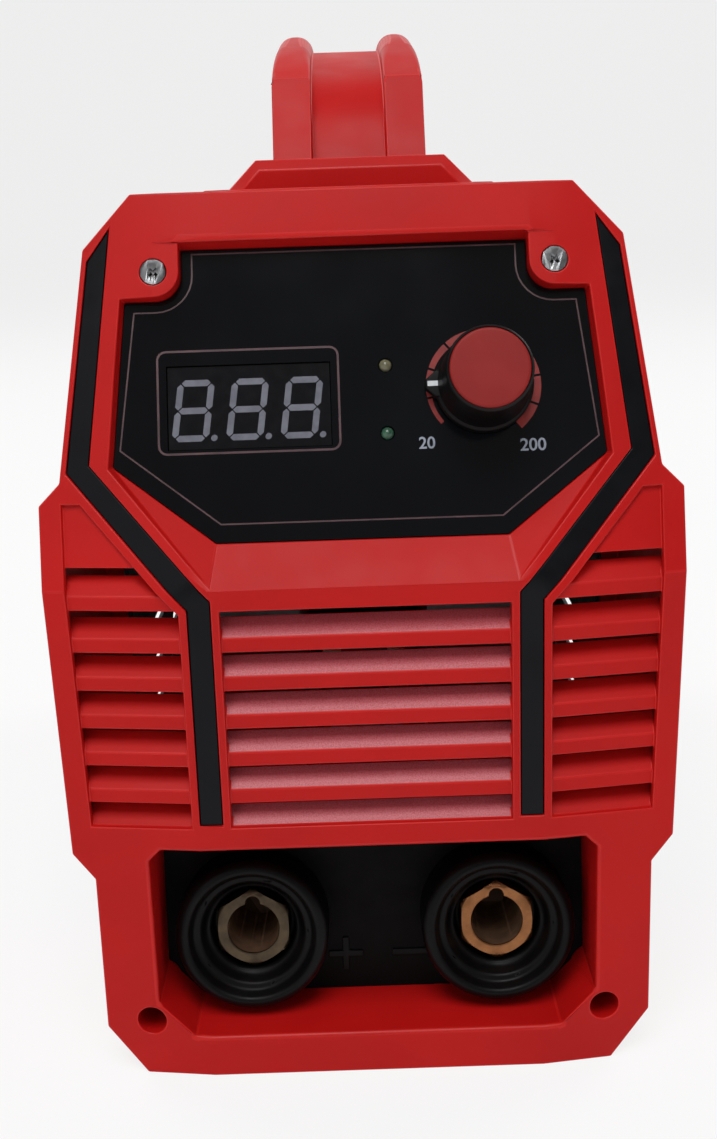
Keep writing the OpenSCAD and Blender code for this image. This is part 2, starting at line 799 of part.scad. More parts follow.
module panel_screws() {
    tip = board_back - board_nut_h - 1;
    color(STEEL)
        place()
            at_panel_screws() {
                translate([0, 0, head_seat]) cylinder(d = screw_head_d, h = screw_head_h);
                translate([0, 0, tip]) cylinder(d = panel_screw_d, h = head_seat - tip + eps);
            }
}
module hex_nut(af, bore, h)
    difference() {
        cylinder(d = af / cos(30), h = h, $fn = 6);
        translate([0, 0, -1]) cylinder(d = bore, h = h + 2);
    }
module board_nuts() {
    color(STEEL)
        place()
            at_panel_screws()
                translate([0, 0, board_back - board_nut_h])
                    hex_nut(1.8 * panel_screw_d, panel_screw_d + screw_gap, board_nut_h);
}
module lamp(s) {
    dome_z = -panel_recess + lamp_rise - lamp_d / 2 - board_front;
    place()
        on_face()
            translate([lamp_x, s, board_front]) {
                cylinder(d = lamp_d, h = dome_z);
                translate([0, 0, dome_z]) sphere(d = lamp_d);
                cylinder(d = 1.3 * lamp_d, h = lamp_d / 3);
            }
}
module fault_lamp() color([0.75, 0.72, 0.52]) lamp(lamp_high_s);
module power_lamp() color([0.30, 0.62, 0.38]) lamp(lamp_low_s);

// Current control: the can and its bush stay, and the shaft, knob and cap turn
bush_rise = 4;
control_nut_h = 2;
control_nut_af = bush_d + 3;
bush_top = -panel_recess + bush_rise;
shaft_low = board_front + 2;
knob_low = -panel_recess + knob_gap;
knob_top = -panel_recess + knob_h;
cap_low = knob_top - knob_cap_t;
shaft_top = cap_low - 3;
knob_edge = 0.7;
cup_r = control_nut_af / 2 / cos(30) + knob_edge;
cup_top = bush_top + knob_gap;
module at_knob() place() on_face() translate([knob_x, knob_s, 0]) children();
module current_control_can() {
    color([0.35, 0.36, 0.38])
        at_knob()
            difference() {
                union() {
                    translate([0, 0, board_front]) cylinder(d = pot_d, h = panel_back - board_front);
                    translate([0, 0, panel_back - 1]) cylinder(d = bush_d, h = bush_top - panel_back + 1);
                }
                translate([0, 0, shaft_low - shaft_gap])
                    cylinder(d = shaft_d + 2 * shaft_gap, h = bush_top - shaft_low + 1);
            }
}
module current_control_nut() {
    color(STEEL)
        at_knob()
            translate([0, 0, -panel_recess]) hex_nut(control_nut_af, bush_d + screw_gap, control_nut_h);
}
module current_control_shaft() {
    color(STEEL) at_knob() translate([0, 0, shaft_low]) cylinder(d = shaft_d, h = shaft_top - shaft_low);
}
module knob_body() {
    skirt_r = knob_skirt_d / 2;
    top_r = knob_top_d / 2;
    skirt_top = knob_low + knob_skirt_h;
    color(BLACK)
        at_knob()
            difference() {
                union() {
                    rotate_extrude()
                        polygon([
                            [0, knob_low],
                            [skirt_r, knob_low],
                            [skirt_r, skirt_top - knob_edge],
                            [skirt_r - knob_edge, skirt_top],
                            [top_r + knob_edge / 2, skirt_top],
                            [top_r, knob_top - knob_edge],
                            [top_r - knob_edge, knob_top],
                            [0, knob_top]
                        ]);
                    slab([
                        [0, -pointer_w / 2],
                        [0, pointer_w / 2],
                        [-skirt_r, pointer_w / 2],
                        [-skirt_r - pointer_len, pointer_w / 6],
                        [-skirt_r - pointer_len, -pointer_w / 6],
                        [-skirt_r, -pointer_w / 2]
                    ], knob_low, skirt_top);
                }
                translate([0, 0, knob_low - 1]) cylinder(r = cup_r, h = cup_top - knob_low + 1);
                translate([0, 0, cup_top - 1])
                    cylinder(d = shaft_d + 2 * shaft_gap, h = shaft_top - cup_top + 1 + screw_gap);
                translate([0, 0, cap_low]) cylinder(d = knob_cap_d + 2 * shaft_gap, h = knob_cap_t + 1);
            }
}
module knob_cap() color(RED) at_knob() translate([0, 0, cap_low]) cylinder(d = knob_cap_d, h = knob_cap_t);

// Output sockets on the leaning plate; the brass hexagon lies sunk in its stepped flange
LEFT = -1;
RIGHT = 1;
insert_hole_r = insert_body_d / 2 + insert_gap;
insert_corner_r = insert_af / 2 / cos(30);
insert_floor = 3;
insert_tail = insert_bore_len - insert_rise + insert_floor;
insert_edge = 1.8;
key_d = 0.28 * insert_bore_d;
flange_base = 3;
flange_rim = 3;
flange_step = 3;
flange_bevel = 1.4;
stud_d = 8;
stud_len = 16;
stud_nut_h = 6.5;
stud_nut_af = 13;
socket_nut_h = 5;
socket_nut_af = insert_body_d + 6;
socket_x = recess_w / 2 - socket_inset;
module at_socket(side) place() on_plate() translate([side * socket_x, socket_s, 0]) children();
module socket_plate() {
    color(BLACK)
        difference() {
            place() {
                on_plate()
                    slab([for (p = tunnel_outline) [p[0], (p[1] - ledge_z) / cos(plate_tilt)]], -plate_t, 0);
                at_plate_ears() translate([0, 0, -plate_t]) cylinder(r = ear_r, h = plate_t);
            }
            for (side = [LEFT, RIGHT])
                at_socket(side) translate([0, 0, -plate_t - 1]) cylinder(r = insert_hole_r, h = plate_t + 2);
            place() {
                at_plate_ears()
                    translate([0, 0, -plate_t - 1])
                        cylinder(d = ear_screw_d + 2 * screw_gap, h = plate_t + 2);
                foot_room();
            }
        }
}
module ear_screw(grip) {
    translate([0, 0, -grip - ear_screw_d]) cylinder(d = 2 * ear_screw_d, h = ear_screw_d);
    translate([0, 0, -grip - eps]) cylinder(d = ear_screw_d, h = grip + ear_depth / 2);
}
module socket_plate_screws() color(STEEL) place() at_plate_ears() ear_screw(plate_t);
module socket_flange(side) {
    r = flange_d / 2;
    pocket_r = insert_corner_r + 2 * insert_gap;
    color(BLACK)
        at_socket(side)
            rotate_extrude()
                polygon([
                    [insert_hole_r, 0],
                    [r, 0],
                    [r, flange_h - flange_bevel],
                    [r - flange_bevel, flange_h],
                    [r - flange_rim, flange_h],
                    [r - flange_rim - flange_bevel, flange_h - flange_step],
                    [r - flange_rim - 2 * flange_bevel, flange_h - flange_step],
                    [r - flange_rim - 3 * flange_bevel, flange_h - 2 * flange_step],
                    [pocket_r, flange_h - 2 * flange_step - flange_bevel / 2],
                    [pocket_r, flange_base],
                    [insert_hole_r, flange_base]
                ]);
}
module positive_socket_flange() socket_flange(LEFT);
module negative_socket_flange() socket_flange(RIGHT);
module socket_insert(side) {
    color(BRASS)
        at_socket(side)
            difference() {
                union() {
                    intersection() {
                        rotate([0, 0, 30])
                            translate([0, 0, flange_base])
                                cylinder(r = insert_corner_r, h = insert_rise - flange_base, $fn = 6);
                        rotate_extrude()
                            polygon([
                                [0, 0],
                                [insert_corner_r + 1, 0],
                                [insert_corner_r + 1, insert_rise - insert_edge],
                                [insert_af / 2, insert_rise],
                                [0, insert_rise]
                            ]);
                    }
                    translate([0, 0, -insert_tail])
                        cylinder(d = insert_body_d, h = insert_tail + flange_base + eps);
                    translate([0, 0, -insert_tail - stud_len]) cylinder(d = stud_d, h = stud_len + eps);
                }
                translate([0, 0, insert_rise - insert_bore_len])
                    cylinder(d = insert_bore_d, h = insert_bore_len + 1);
                translate([0, insert_bore_d / 2, flange_base]) cylinder(d = key_d, h = insert_rise);
            }
}
module positive_socket_insert() socket_insert(LEFT);
module negative_socket_insert() socket_insert(RIGHT);
module socket_nuts() {
    color(BRASS)
        for (side = [LEFT, RIGHT])
            at_socket(side)
                translate([0, 0, -plate_t - socket_nut_h])
                    hex_nut(socket_nut_af, insert_body_d + 2 * insert_gap, socket_nut_h);
}
module stud_nuts() {
    color(STEEL)
        for (side = [LEFT, RIGHT])
            at_socket(side)
                translate([0, 0, -insert_tail - bar_t - stud_nut_h])
                    hex_nut(stud_nut_af, stud_d + 2 * screw_gap, stud_nut_h);
}

// Copper bars from the sockets' studs to the main board
main_y0 = bezel_depth + board_end_gap;
main_y1 = body_len - main_y0;
main_low = tray_top + standoff_h;
main_top = main_low + board_t;
bar_s = (main_top - ledge_z + insert_tail * sin(plate_tilt)) / cos(plate_tilt);
bar_y = ledge_depth + bar_s * sin(plate_tilt) + insert_tail * cos(plate_tilt) + bar_t / 2;
module busbar(side) {
    color(COPPER) {
        difference() {
            at_socket(side)
                translate([-bar_w / 2, bar_s - socket_s - bar_t, -insert_tail - bar_t])
                    cube([bar_w, socket_s + bar_w / 2 - bar_s + bar_t, bar_t]);
            at_socket(side)
                translate([0, 0, -insert_tail - bar_t - 1])
                    cylinder(d = stud_d + 2 * screw_gap, h = bar_t + 2);
            translate([-far, -reach / 2, main_top - far]) cube([2 * far, reach, far]);
        }
        place()
            translate([side * socket_x - bar_w / 2, bar_y, main_top])
                cube([bar_w, main_y0 + bar_w - bar_y, bar_t]);
    }
}
module positive_busbar() busbar(LEFT);
module negative_busbar() busbar(RIGHT);

// Folded steel case: a tray with tabs for the foot screws, and a vented cover
tab_w = 14;
tab_h = 26;
cover_screw_z = (cover_low + tray_h) / 2;
cover_lean = (case_outline[2][0] - case_outline[1][0]) / (case_outline[2][1] - case_outline[1][1]);
cover_seat = cover_lean * (cover_screw_z - case_outline[1][1]) + abs(cover_lean) * screw_d;
cover_side = case_outline[1][0] + cover_seat;
module at_cover_screws()
    for (y = [bezel_depth + 2 * screw_d, body_len - bezel_depth - 2 * screw_d])
        translate([0, y, cover_screw_z]) children();
module cover_screw_holes()
    at_cover_screws()
        translate([-far, 0, 0]) rotate([0, 90, 0]) cylinder(d = screw_d + 2 * screw_gap, h = 2 * far);
module base_tray() {
    color(STEEL)
        place()
            difference() {
                union() {
                    difference() {
                        prism(inset(case_outline, sheet_t), rim_y, body_len - rim_y);
                        prism(inset(case_outline, 2 * sheet_t), rim_y - 1, body_len - rim_y + 1);
                        translate([-far, 0, tray_h]) cube([2 * far, reach, reach]);
                    }
                    intersection() {
                        pair()
                            for (y = [rim_y, body_len - rim_y - sheet_t])
                                translate([foot_screw_x - tab_w / 2, y, 0]) cube([tab_w, sheet_t, tab_h]);
                        prism(inset(case_outline, 1.5 * sheet_t), 0, body_len);
                    }
                }
                at_foot_screws() rod(screw_d + 2 * screw_gap, rim_y - 1, body_len - rim_y + 1);
                cover_screw_holes();
            }
}
module vent_slot()
    rotate([0, 90, 0])
        linear_extrude(2 * far) {
            translate([-vent_h / 2, (vent_h - vent_len) / 2]) square([vent_h, vent_len - vent_h]);
            for (e = [-1, 1]) translate([0, e * (vent_len - vent_h) / 2]) circle(d = vent_h);
        }
module cover() {
    color([0.16, 0.16, 0.17])
        place()
            difference() {
                prism(case_outline, rim_y, body_len - rim_y);
                prism(inset(case_outline, sheet_t), rim_y - 1, body_len - rim_y + 1);
                translate([-far, 0, -1]) cube([2 * far, reach, cover_low + 1]);
                for (k = [0:vent_rows - 1], e = [-1, 1])
                    translate([-far, body_len / 2 + e * (vent_len / 2 + vent_h), vent_z + k * vent_pitch])
                        vent_slot();
                cover_screw_holes();
            }
}
module cover_screws() {
    color(STEEL)
        place()
            pair()
                at_cover_screws()
                    translate([cover_side, 0, 0])
                        rotate([0, 90, 0]) {
                            cylinder(d1 = 2 * screw_d, d2 = 1.4 * screw_d, h = screw_d / 2);
                            translate([0, 0, -4 * sheet_t]) cylinder(d = screw_d, h = 4 * sheet_t + eps);
                        }
}

// Handle: an arched grip of two round-topped rails and a sunk web, on two legs
handle_top = body_h + handle_rise;
crease_z = body_h + crease_rise;
crease_y = leg_y + crease_run;
grip_half = body_len / 2 - crease_y;
grip_sag = handle_top - crease_z;
grip_r = (grip_half * grip_half + grip_sag * grip_sag) / (2 * grip_sag);
web_half = handle_w / 2 - rail_w;
leg_slope = (crease_y - leg_y) / (crease_z - hump_top);
leg_wall = 1.6;
leg_screw_len = hump_h + (leg_screw_y - leg_y - screw_d / 2 - screw_gap - leg_wall) / leg_slope;
// Side view of what lies within an arc and two leaning ends
module handle_field(arc_r, set, drop = 0)
    intersection() {
        translate([body_len / 2, handle_top - grip_r]) circle(r = arc_r, $fn = 360);
        mirrored_end(leg_y + set, leg_y + set + (handle_top + 1 - hump_top) * leg_slope, body_h - drop);
    }
module mirrored_end(foot, head, low)
    polygon([
        [foot, low],
        [foot, hump_top],
        [head, handle_top + 1],
        [body_len - head, handle_top + 1],
        [body_len - foot, hump_top],
        [body_len - foot, low]
    ]);
module across(w) translate([-w / 2, 0, 0]) rotate([90, 0, 90]) linear_extrude(w) children();
module grip_recess()
    difference() {
        handle_field(grip_r + 1, -1, 1);
        handle_field(grip_r - web_set, web_set, 1);
    }
module both_ends() {
    children();
    from_back() children();
}
module leg_bores()
    pair()
        translate([leg_screw_x, leg_screw_y, body_h - 1])
            cylinder(d = screw_d + 2 * screw_gap, h = 1 + leg_screw_len + screw_gap);
module handle() {
    color(RED)
        place()
            difference() {
                across(handle_w) handle_field(grip_r, 0);
                across(handle_w + 2) handle_field(grip_r - grip_t, leg_t, 1);
                across(2 * web_half) grip_recess();
                both_ends() leg_bores();
            }
}
module leg_screws()
    pair()
        translate([leg_screw_x, leg_screw_y, body_h - wall]) {
            translate([0, 0, -screw_d / 2]) cylinder(d = 2 * screw_d, h = screw_d / 2);
            translate([0, 0, -eps]) cylinder(d = screw_d, h = wall + leg_screw_len);
        }
module handle_screws() {
    color(STEEL)
        place() both_ends() leg_screws();
}
module front_foot_screws() color(STEEL) place() foot_screw_pair();
module rear_foot_screws() color(STEEL) place() from_back() foot_screw_pair();

// Rear bezel with the fan grille and the inlet recess
ring_step = fan_bore / 2 / (grille_rings + 0.5);
spoke_set = 0.4;
csk_h = screw_d / 2;
csk_set = 0.3;
fan_z = recess_top + fan_lift + fan_size / 2;
module at_fan() translate([0, 0, fan_z]) children();
module fan_corners()
    for (x = [-1, 1], z = [-1, 1]) translate([x * fan_pitch / 2, 0, z * fan_pitch / 2]) children();
module csk(room)
    translate([0, csk_set, 0])
        rotate([-90, 0, 0]) cylinder(d1 = 2 * screw_d + room, d2 = screw_d + room, h = csk_h);
module at_inlet_ears() pair() for (z = [ear_low, ear_high]) translate([ear_x, inlet_depth, z]) children();
module inlet_tunnel()
    intersection() {
        union() {
            prism(tunnel_outline, -1, inlet_depth);
            at_inlet_ears() rod(2 * ear_r, -ear_depth, 0);
        }
        rear_envelope(bezel_depth, 0, 0);
    }
module grille()
    at_fan() {
        for (k = [1:grille_rings])
            difference() {
                rod((2 * k - 1) * ring_step + grille_bar, 0, wall);
                rod((2 * k - 1) * ring_step - grille_bar, -1, wall + 1);
            }
        for (a = [0, 60, 120])
            rotate([0, a, 0])
                translate([-fan_bore / 2 - 1, spoke_set, -grille_bar / 2])
                    cube([fan_bore + 2, wall - 2 * spoke_set, grille_bar]);
        rod(ring_step / 2, 0, wall);
    }
module rear_bezel() {
    color(RED)
        place()
            from_back() {
                difference() {
                    union() {
                        difference() {
                            rear_envelope(bezel_depth, 0, 0);
                            rear_envelope(rim_y, wall, wall);
                            rim_opening();
                        }
                        inlet_tunnel();
                        intersection() {
                            foot_tubes();
                            rear_envelope(bezel_depth, 0, 0);
                        }
                        tray_rest();
                        hump();
                    }
                    prism(recess_outline, -2, inlet_depth + 1);
                    foot_holes();
                    at_inlet_ears() rod(ear_screw_d + 2 * screw_gap, 2 - ear_depth, 1);
                    leg_slot();
                    leg_screw_holes();
                    at_fan() {
                        rod(fan_bore, -1, 2 * wall);
                        fan_corners() {
                            rod(screw_d + 2 * screw_gap, -1, 2 * wall);
                            rod(2 * (screw_d + screw_gap), -1, csk_set + eps);
                            csk(2 * screw_gap);
                        }
                    }
                }
                grille();
            }
}

// Fan: the frame stands on the rear wall, and the shaft runs in its bush
mount_t = 3.6;
mount_gap = 0.8;
fan_low = wall + fan_t;
fan_flange = 4;
hub_back = 2 * wall;
hub_front = fan_low - mount_t - mount_gap;
hub_wall = 2;
fan_bush_d = 3 * fan_shaft_d;
fan_bush_low = fan_low - mount_t - 8;
spoke_w = 4;
blade_r = fan_bore / 2 - blade_gap;
blade_arc = 20;
blade_pitch = 40;
module fan_waist()
    difference() {
        translate([-fan_size, wall + fan_flange, -fan_size])
            cube([2 * fan_size, fan_t - 2 * fan_flange, 2 * fan_size]);
        rod(fan_bore + hub_wall, wall, fan_low);
        fan_corners() rod(screw_d + 5, wall, fan_low);
    }
module fan_frame() {
    color(BLACK)
        place()
            from_back()
                at_fan()
                    difference() {
                        union() {
                            difference() {
                                translate([-fan_size / 2, wall, -fan_size / 2])
                                    cube([fan_size, fan_t, fan_size]);
                                rod(fan_bore, wall - 1, fan_low + 1);
                                fan_waist();
                            }
                            rod(fan_hub_d, fan_low - mount_t, fan_low);
                            for (a = [45:90:315])
                                rotate([0, a, 0])
                                    translate([0, fan_low - mount_t, -spoke_w / 2])
                                        cube([fan_bore / 2 + hub_wall / 2, mount_t, spoke_w]);
                            rod(fan_bush_d, fan_bush_low, fan_low - 1);
                        }
                        rod(fan_shaft_d + 2 * shaft_gap, wall, fan_low - 1);
                        fan_corners() rod(screw_d + 2 * screw_gap, 0, fan_low + 1);
                    }
}
blade_turn = [-36:12:36];
blade_edge = 0.6;
blade_outside = [for (a = blade_turn) blade_arc * [cos(a), sin(a)]];
blade_inside = [for (a = blade_turn) (blade_arc - blade_t) * [cos(a), -sin(a)]];
module blade_section()
    intersection() {
        rotate(blade_pitch) translate([-blade_arc, 0]) polygon(concat(blade_outside, blade_inside));
        translate([-blade_arc, -(hub_front - hub_back) / 2 + blade_edge])
            square([2 * blade_arc, hub_front - hub_back - 2 * blade_edge]);
    }
module blade()
    intersection() {
        translate([0, (hub_back + hub_front) / 2, 0])
            rotate([0, 90, 0])
                linear_extrude(fan_bore / 2) blade_section();
        rod(2 * blade_r, hub_back - 1, hub_front + 1);
    }
module fan_rotor() {
    color([0.12, 0.12, 0.13])
        place()
            from_back()
                at_fan() {
                    difference() {
                        union() {
                            rod(fan_hub_d, hub_back, hub_front);
                            for (k = [0:blade_count - 1]) rotate([0, k * 360 / blade_count, 0]) blade();
                        }
                        rod(fan_hub_d - 2 * hub_wall, hub_back + hub_wall, hub_front + 1);
                    }
                    rod(fan_shaft_d, hub_back + eps, fan_low - 1 - screw_gap);
                }
}
module fan_screws() {
    color(STEEL)
        place()
            from_back()
                at_fan()
                    fan_corners() {
                        csk(0);
                        rod(screw_d, csk_set + csk_h - eps, fan_low - 2);
                    }
}

// Inlet: a plate with the mains switch, the cable gland and the earth stud
switch_rim = 1.6;
switch_rim_t = 2;
switch_fit = 0.2;
rocker_w = switch_w - 6;
pivot_z = -3;
pin_d = 3;
pin_len = 1.6;
gland_hex_h = 6;
gland_nose_d = gland_d - 3;
gland_nose_h = 9;
gland_hex = gland_d + 4;
gland_cap_h = 14;
gland_fit = 0.3;
locknut_h = 5;
earth_drop = 16;
earth_head_h = 4;
earth_washer_h = 1.2;
earth_nut_h = 5;
earth_af = earth_d + 4;
module at_inlet(x, z) place() from_back() translate([x, inlet_depth, z]) rotate([90, 0, 0]) children();
module inlet_plate() {
    color([0.20, 0.20, 0.21])
        difference() {
            place()
                from_back() {
                    prism(tunnel_outline, inlet_depth, inlet_depth + inlet_t);
                    at_inlet_ears() rod(2 * ear_r, 0, inlet_t);
                }
            at_inlet(switch_x, inlet_z)
                translate([-switch_w / 2, -switch_h / 2, -inlet_t - 1])
                    cube([switch_w, switch_h, inlet_t + 2]);
            at_inlet(gland_x, inlet_z)
                translate([0, 0, -inlet_t - 1]) cylinder(d = gland_d + 2 * gland_fit, h = inlet_t + 2);
            at_inlet(0, inlet_z - earth_drop)
                translate([0, 0, -inlet_t - 1]) cylinder(d = earth_d + 2 * screw_gap, h = inlet_t + 2);
            place()
                from_back() {
                    at_inlet_ears() rod(ear_screw_d + 2 * screw_gap, -1, inlet_t + 1);
                    foot_room();
                }
        }
}
module inlet_plate_screws() {
    color(STEEL) place() from_back() at_inlet_ears() rotate([90, 0, 0]) ear_screw(inlet_t);
}
module rocker_axis(d, len) translate([-len / 2, 0, pivot_z]) rotate([0, 90, 0]) cylinder(d = d, h = len);
module switch_body() {
    w = switch_w - 2 * switch_fit;
    h = switch_h - 2 * switch_fit;
    color(BLACK)
        at_inlet(switch_x, inlet_z)
            difference() {
                union() {
                    translate([-w / 2, -h / 2, -switch_depth]) cube([w, h, switch_depth + eps]);
                    translate([-switch_w / 2 - switch_rim, -switch_h / 2 - switch_rim, 0])
                        cube([switch_w + 2 * switch_rim, switch_h + 2 * switch_rim, switch_rim_t]);
                }
                rocker_axis(2 * (rocker_r + rocker_gap), rocker_w + 2 * rocker_gap);
                rocker_axis(pin_d + 2 * shaft_gap, rocker_w + 2 * (rocker_gap + pin_len));
            }
}
module switch_rocker() {
    flat_z = switch_rim_t - pivot_z;
    end_z = flat_z + rocker_r * tan(rocker_tilt);
    color([0.60, 0.10, 0.10])
        at_inlet(switch_x, inlet_z)
            translate([0, 0, pivot_z])
                rotate([rocker_tilt, 0, 0])
                    translate([0, 0, -pivot_z]) {
                        intersection() {
                            rocker_axis(2 * rocker_r, rocker_w);
                            translate([-rocker_w, 0, pivot_z])
                                rotate([90, 0, 90])
                                    linear_extrude(2 * rocker_w)
                                        polygon([
                                            [-rocker_r, -0.7 * rocker_r],
                                            [rocker_r, -0.7 * rocker_r],
                                            [rocker_r, end_z],
                                            [0, flat_z],
                                            [-rocker_r, end_z]
                                        ]);
                        }
                        rocker_axis(pin_d, rocker_w + 2 * (rocker_gap + pin_len - shaft_gap));
                    }
}
module gland_body() {
    color(BLACK)
        at_inlet(gland_x, inlet_z)
            difference() {
                union() {
                    cylinder(d = gland_hex / cos(30), h = gland_hex_h, $fn = 6);
                    translate([0, 0, -inlet_t - 2 * locknut_h])
                        cylinder(d = gland_d, h = inlet_t + 2 * locknut_h + eps);
                    cylinder(d = gland_nose_d, h = gland_hex_h + gland_nose_h);
                }
                translate([0, 0, -inlet_t - 2 * locknut_h - 1])
                    cylinder(d = gland_bore, h = inlet_t + 2 * locknut_h + gland_hex_h + gland_nose_h + 2);
            }
}
module gland_dome_nut() {
    r = gland_hex / 2;
    color(BLACK)
        at_inlet(gland_x, inlet_z)
            translate([0, 0, gland_hex_h])
                difference() {
                    rotate_extrude()
                        polygon([
                            [0, gland_fit],
                            [r, gland_fit],
                            [r, gland_cap_h - 0.4 * r],
                            [0.85 * r, gland_cap_h - 0.15 * r],
                            [0.6 * r, gland_cap_h],
                            [0, gland_cap_h]
                        ]);
                    cylinder(d = gland_nose_d + 2 * gland_fit, h = gland_nose_h + gland_fit);
                    cylinder(d = gland_bore, h = gland_cap_h + 1);
                }
}
module gland_locknut() {
    color(BLACK)
        at_inlet(gland_x, inlet_z)
            translate([0, 0, -inlet_t - locknut_h]) hex_nut(gland_hex, gland_d + gland_fit, locknut_h);
}
module earth_stud() {
    color(BRASS)
        at_inlet(0, inlet_z - earth_drop) {
            translate([0, 0, -inlet_t - earth_head_h])
                cylinder(d = earth_af / cos(30), h = earth_head_h, $fn = 6);
            translate([0, 0, -inlet_t - eps])
                cylinder(d = earth_d, h = inlet_t + earth_washer_h + earth_nut_h + earth_d);
        }
}
module earth_nuts() {
    color(BRASS)
        at_inlet(0, inlet_z - earth_drop) {
            difference() {
                cylinder(d = 2 * earth_d + 1, h = earth_washer_h);
                translate([0, 0, -1]) cylinder(d = earth_d + 2 * screw_gap, h = earth_washer_h + 2);
            }
            translate([0, 0, earth_washer_h]) hex_nut(earth_af, earth_d + 2 * screw_gap, earth_nut_h);
        }
}

// Power stage on the main board
standoff_d = 8;
standoff_in = 7;
part_gap = 0.3;
board_w = foot_w - 2 * board_inset;
sink_w = board_w / 2 - lane_half;
sink_y = main_y0 + bar_w + sink_gap;
sink_len = main_y1 - sink_gap - sink_y;
fin_pitch = (sink_len - sink_back / 2) / (sink_fins - 1);
chip_w = 16;
chip_h = 21;
chip_t = 4;
chip_lift = 8;
chip_count = 4;
core_y = main_y0 + 2 * (capacitor_d + 1) + core_gap;
core_len = main_y1 - standoff_in - core_y;
core_leg = 0.16 * core_len;
core_t = 16;
module main_board() {
    color(BOARD)
        place() translate([-board_w / 2, main_y0, main_low]) cube([board_w, main_y1 - main_y0, board_t]);
}
module board_standoffs() {
    color(STEEL)
        place()
            pair()
                for (y = [main_y0 + standoff_in, main_y1 - standoff_in])
                    translate([board_w / 2 - standoff_in, y, tray_top])
                        cylinder(d = standoff_d, h = standoff_h);
}
module heat_sink(side) {
    color([0.74, 0.75, 0.77])
        place()
            translate([0, sink_y, main_top])
                mirror([side == LEFT ? 1 : 0, 0, 0]) {
                    translate([lane_half, 0, 0]) cube([sink_back, sink_len, sink_h]);
                    for (k = [0:sink_fins - 1])
                        translate([lane_half, k * fin_pitch, 0]) cube([sink_w, sink_back / 2, sink_h]);
                }
}
module left_heat_sink() heat_sink(LEFT);
module right_heat_sink() heat_sink(RIGHT);
module chips(side)
    place()
        for (k = [0:chip_count - 1])
            translate([0, sink_y + (k + 0.5) * sink_len / chip_count - chip_w / 2, main_top + chip_lift])
                mirror([side == LEFT ? 1 : 0, 0, 0])
                    translate([lane_half - chip_t, 0, 0]) cube([chip_t, chip_w, chip_h]);
module transistors() color(BLACK) chips(LEFT);
module output_diodes() color(BLACK) chips(RIGHT);
module reservoir_capacitors() {
    color([0.14, 0.20, 0.42])
        place()
            for (k = [0, 1])
                translate([0, main_y0 + (k + 0.5) * (capacitor_d + 1), main_top])
                    cylinder(d = capacitor_d, h = capacitor_h);
}
module transformer_core() {
    leg_span = (core_len - 4 * core_leg) / 2;
    color([0.24, 0.24, 0.25])
        place()
            translate([-core_t / 2, core_y, main_top])
                difference() {
                    cube([core_t, core_len, core_h]);
                    for (k = [0, 1])
                        translate([-1, core_leg + k * (leg_span + 2 * core_leg), core_leg])
                            cube([core_t + 2, leg_span, core_h - 2 * core_leg]);
                }
}
module transformer_winding() {
    leg_span = (core_len - 4 * core_leg) / 2;
    hole = [core_t + 2 * part_gap, 2 * core_leg + 2 * part_gap];
    size = [
        2 * (lane_half - chip_t - 1),
        2 * core_leg + 2 * (leg_span - part_gap),
        core_h - 2 * core_leg - 2 * part_gap
    ];
    color(COPPER)
        place()
            translate([0, core_y + core_len / 2, main_top + core_leg + part_gap])
                difference() {
                    translate([-size[0] / 2, -size[1] / 2, 0]) cube(size);
                    translate([-hole[0] / 2, -hole[1] / 2, -1]) cube([hole[0], hole[1], size[2] + 2]);
                }
}

front_bezel();
left_trim_strip();
right_trim_strip();
control_panel();
display_module();
control_board();
panel_screws();
board_nuts();
fault_lamp();
power_lamp();
current_control_can();
current_control_nut();
current_control_shaft();
knob_body();
knob_cap();
socket_plate();
socket_plate_screws();
positive_socket_flange();
negative_socket_flange();
positive_socket_insert();
negative_socket_insert();
socket_nuts();
stud_nuts();
positive_busbar();
negative_busbar();
base_tray();
cover();
cover_screws();
handle();
handle_screws();
front_foot_screws();
rear_foot_screws();
rear_bezel();
fan_frame();
fan_rotor();
fan_screws();
inlet_plate();
inlet_plate_screws();
switch_body();
switch_rocker();
gland_body();
gland_dome_nut();
gland_locknut();
earth_stud();
earth_nuts();
main_board();
board_standoffs();
left_heat_sink();
right_heat_sink();
transistors();
output_diodes();
reservoir_capacitors();
transformer_core();
transformer_winding();
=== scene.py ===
# %% [markdown]
# A stick welding inverter: a red moulded box with a carrying handle, louvred front, black control panel and two
# welding sockets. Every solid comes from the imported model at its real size, in metres, so nothing here is scaled or
# fitted. This lesson rounds the moulded edges, makes the small marks and recesses, and gives each piece its finish.
# A length written as a bare number is in millimetres, and times MM it is in metres. Only the lamps and the sheet under
# the welder are written straight in metres.

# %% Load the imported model
import json
import math
import bmesh
import bpy
from mathutils import Matrix, Vector
from mathutils.bvhtree import BVHTree

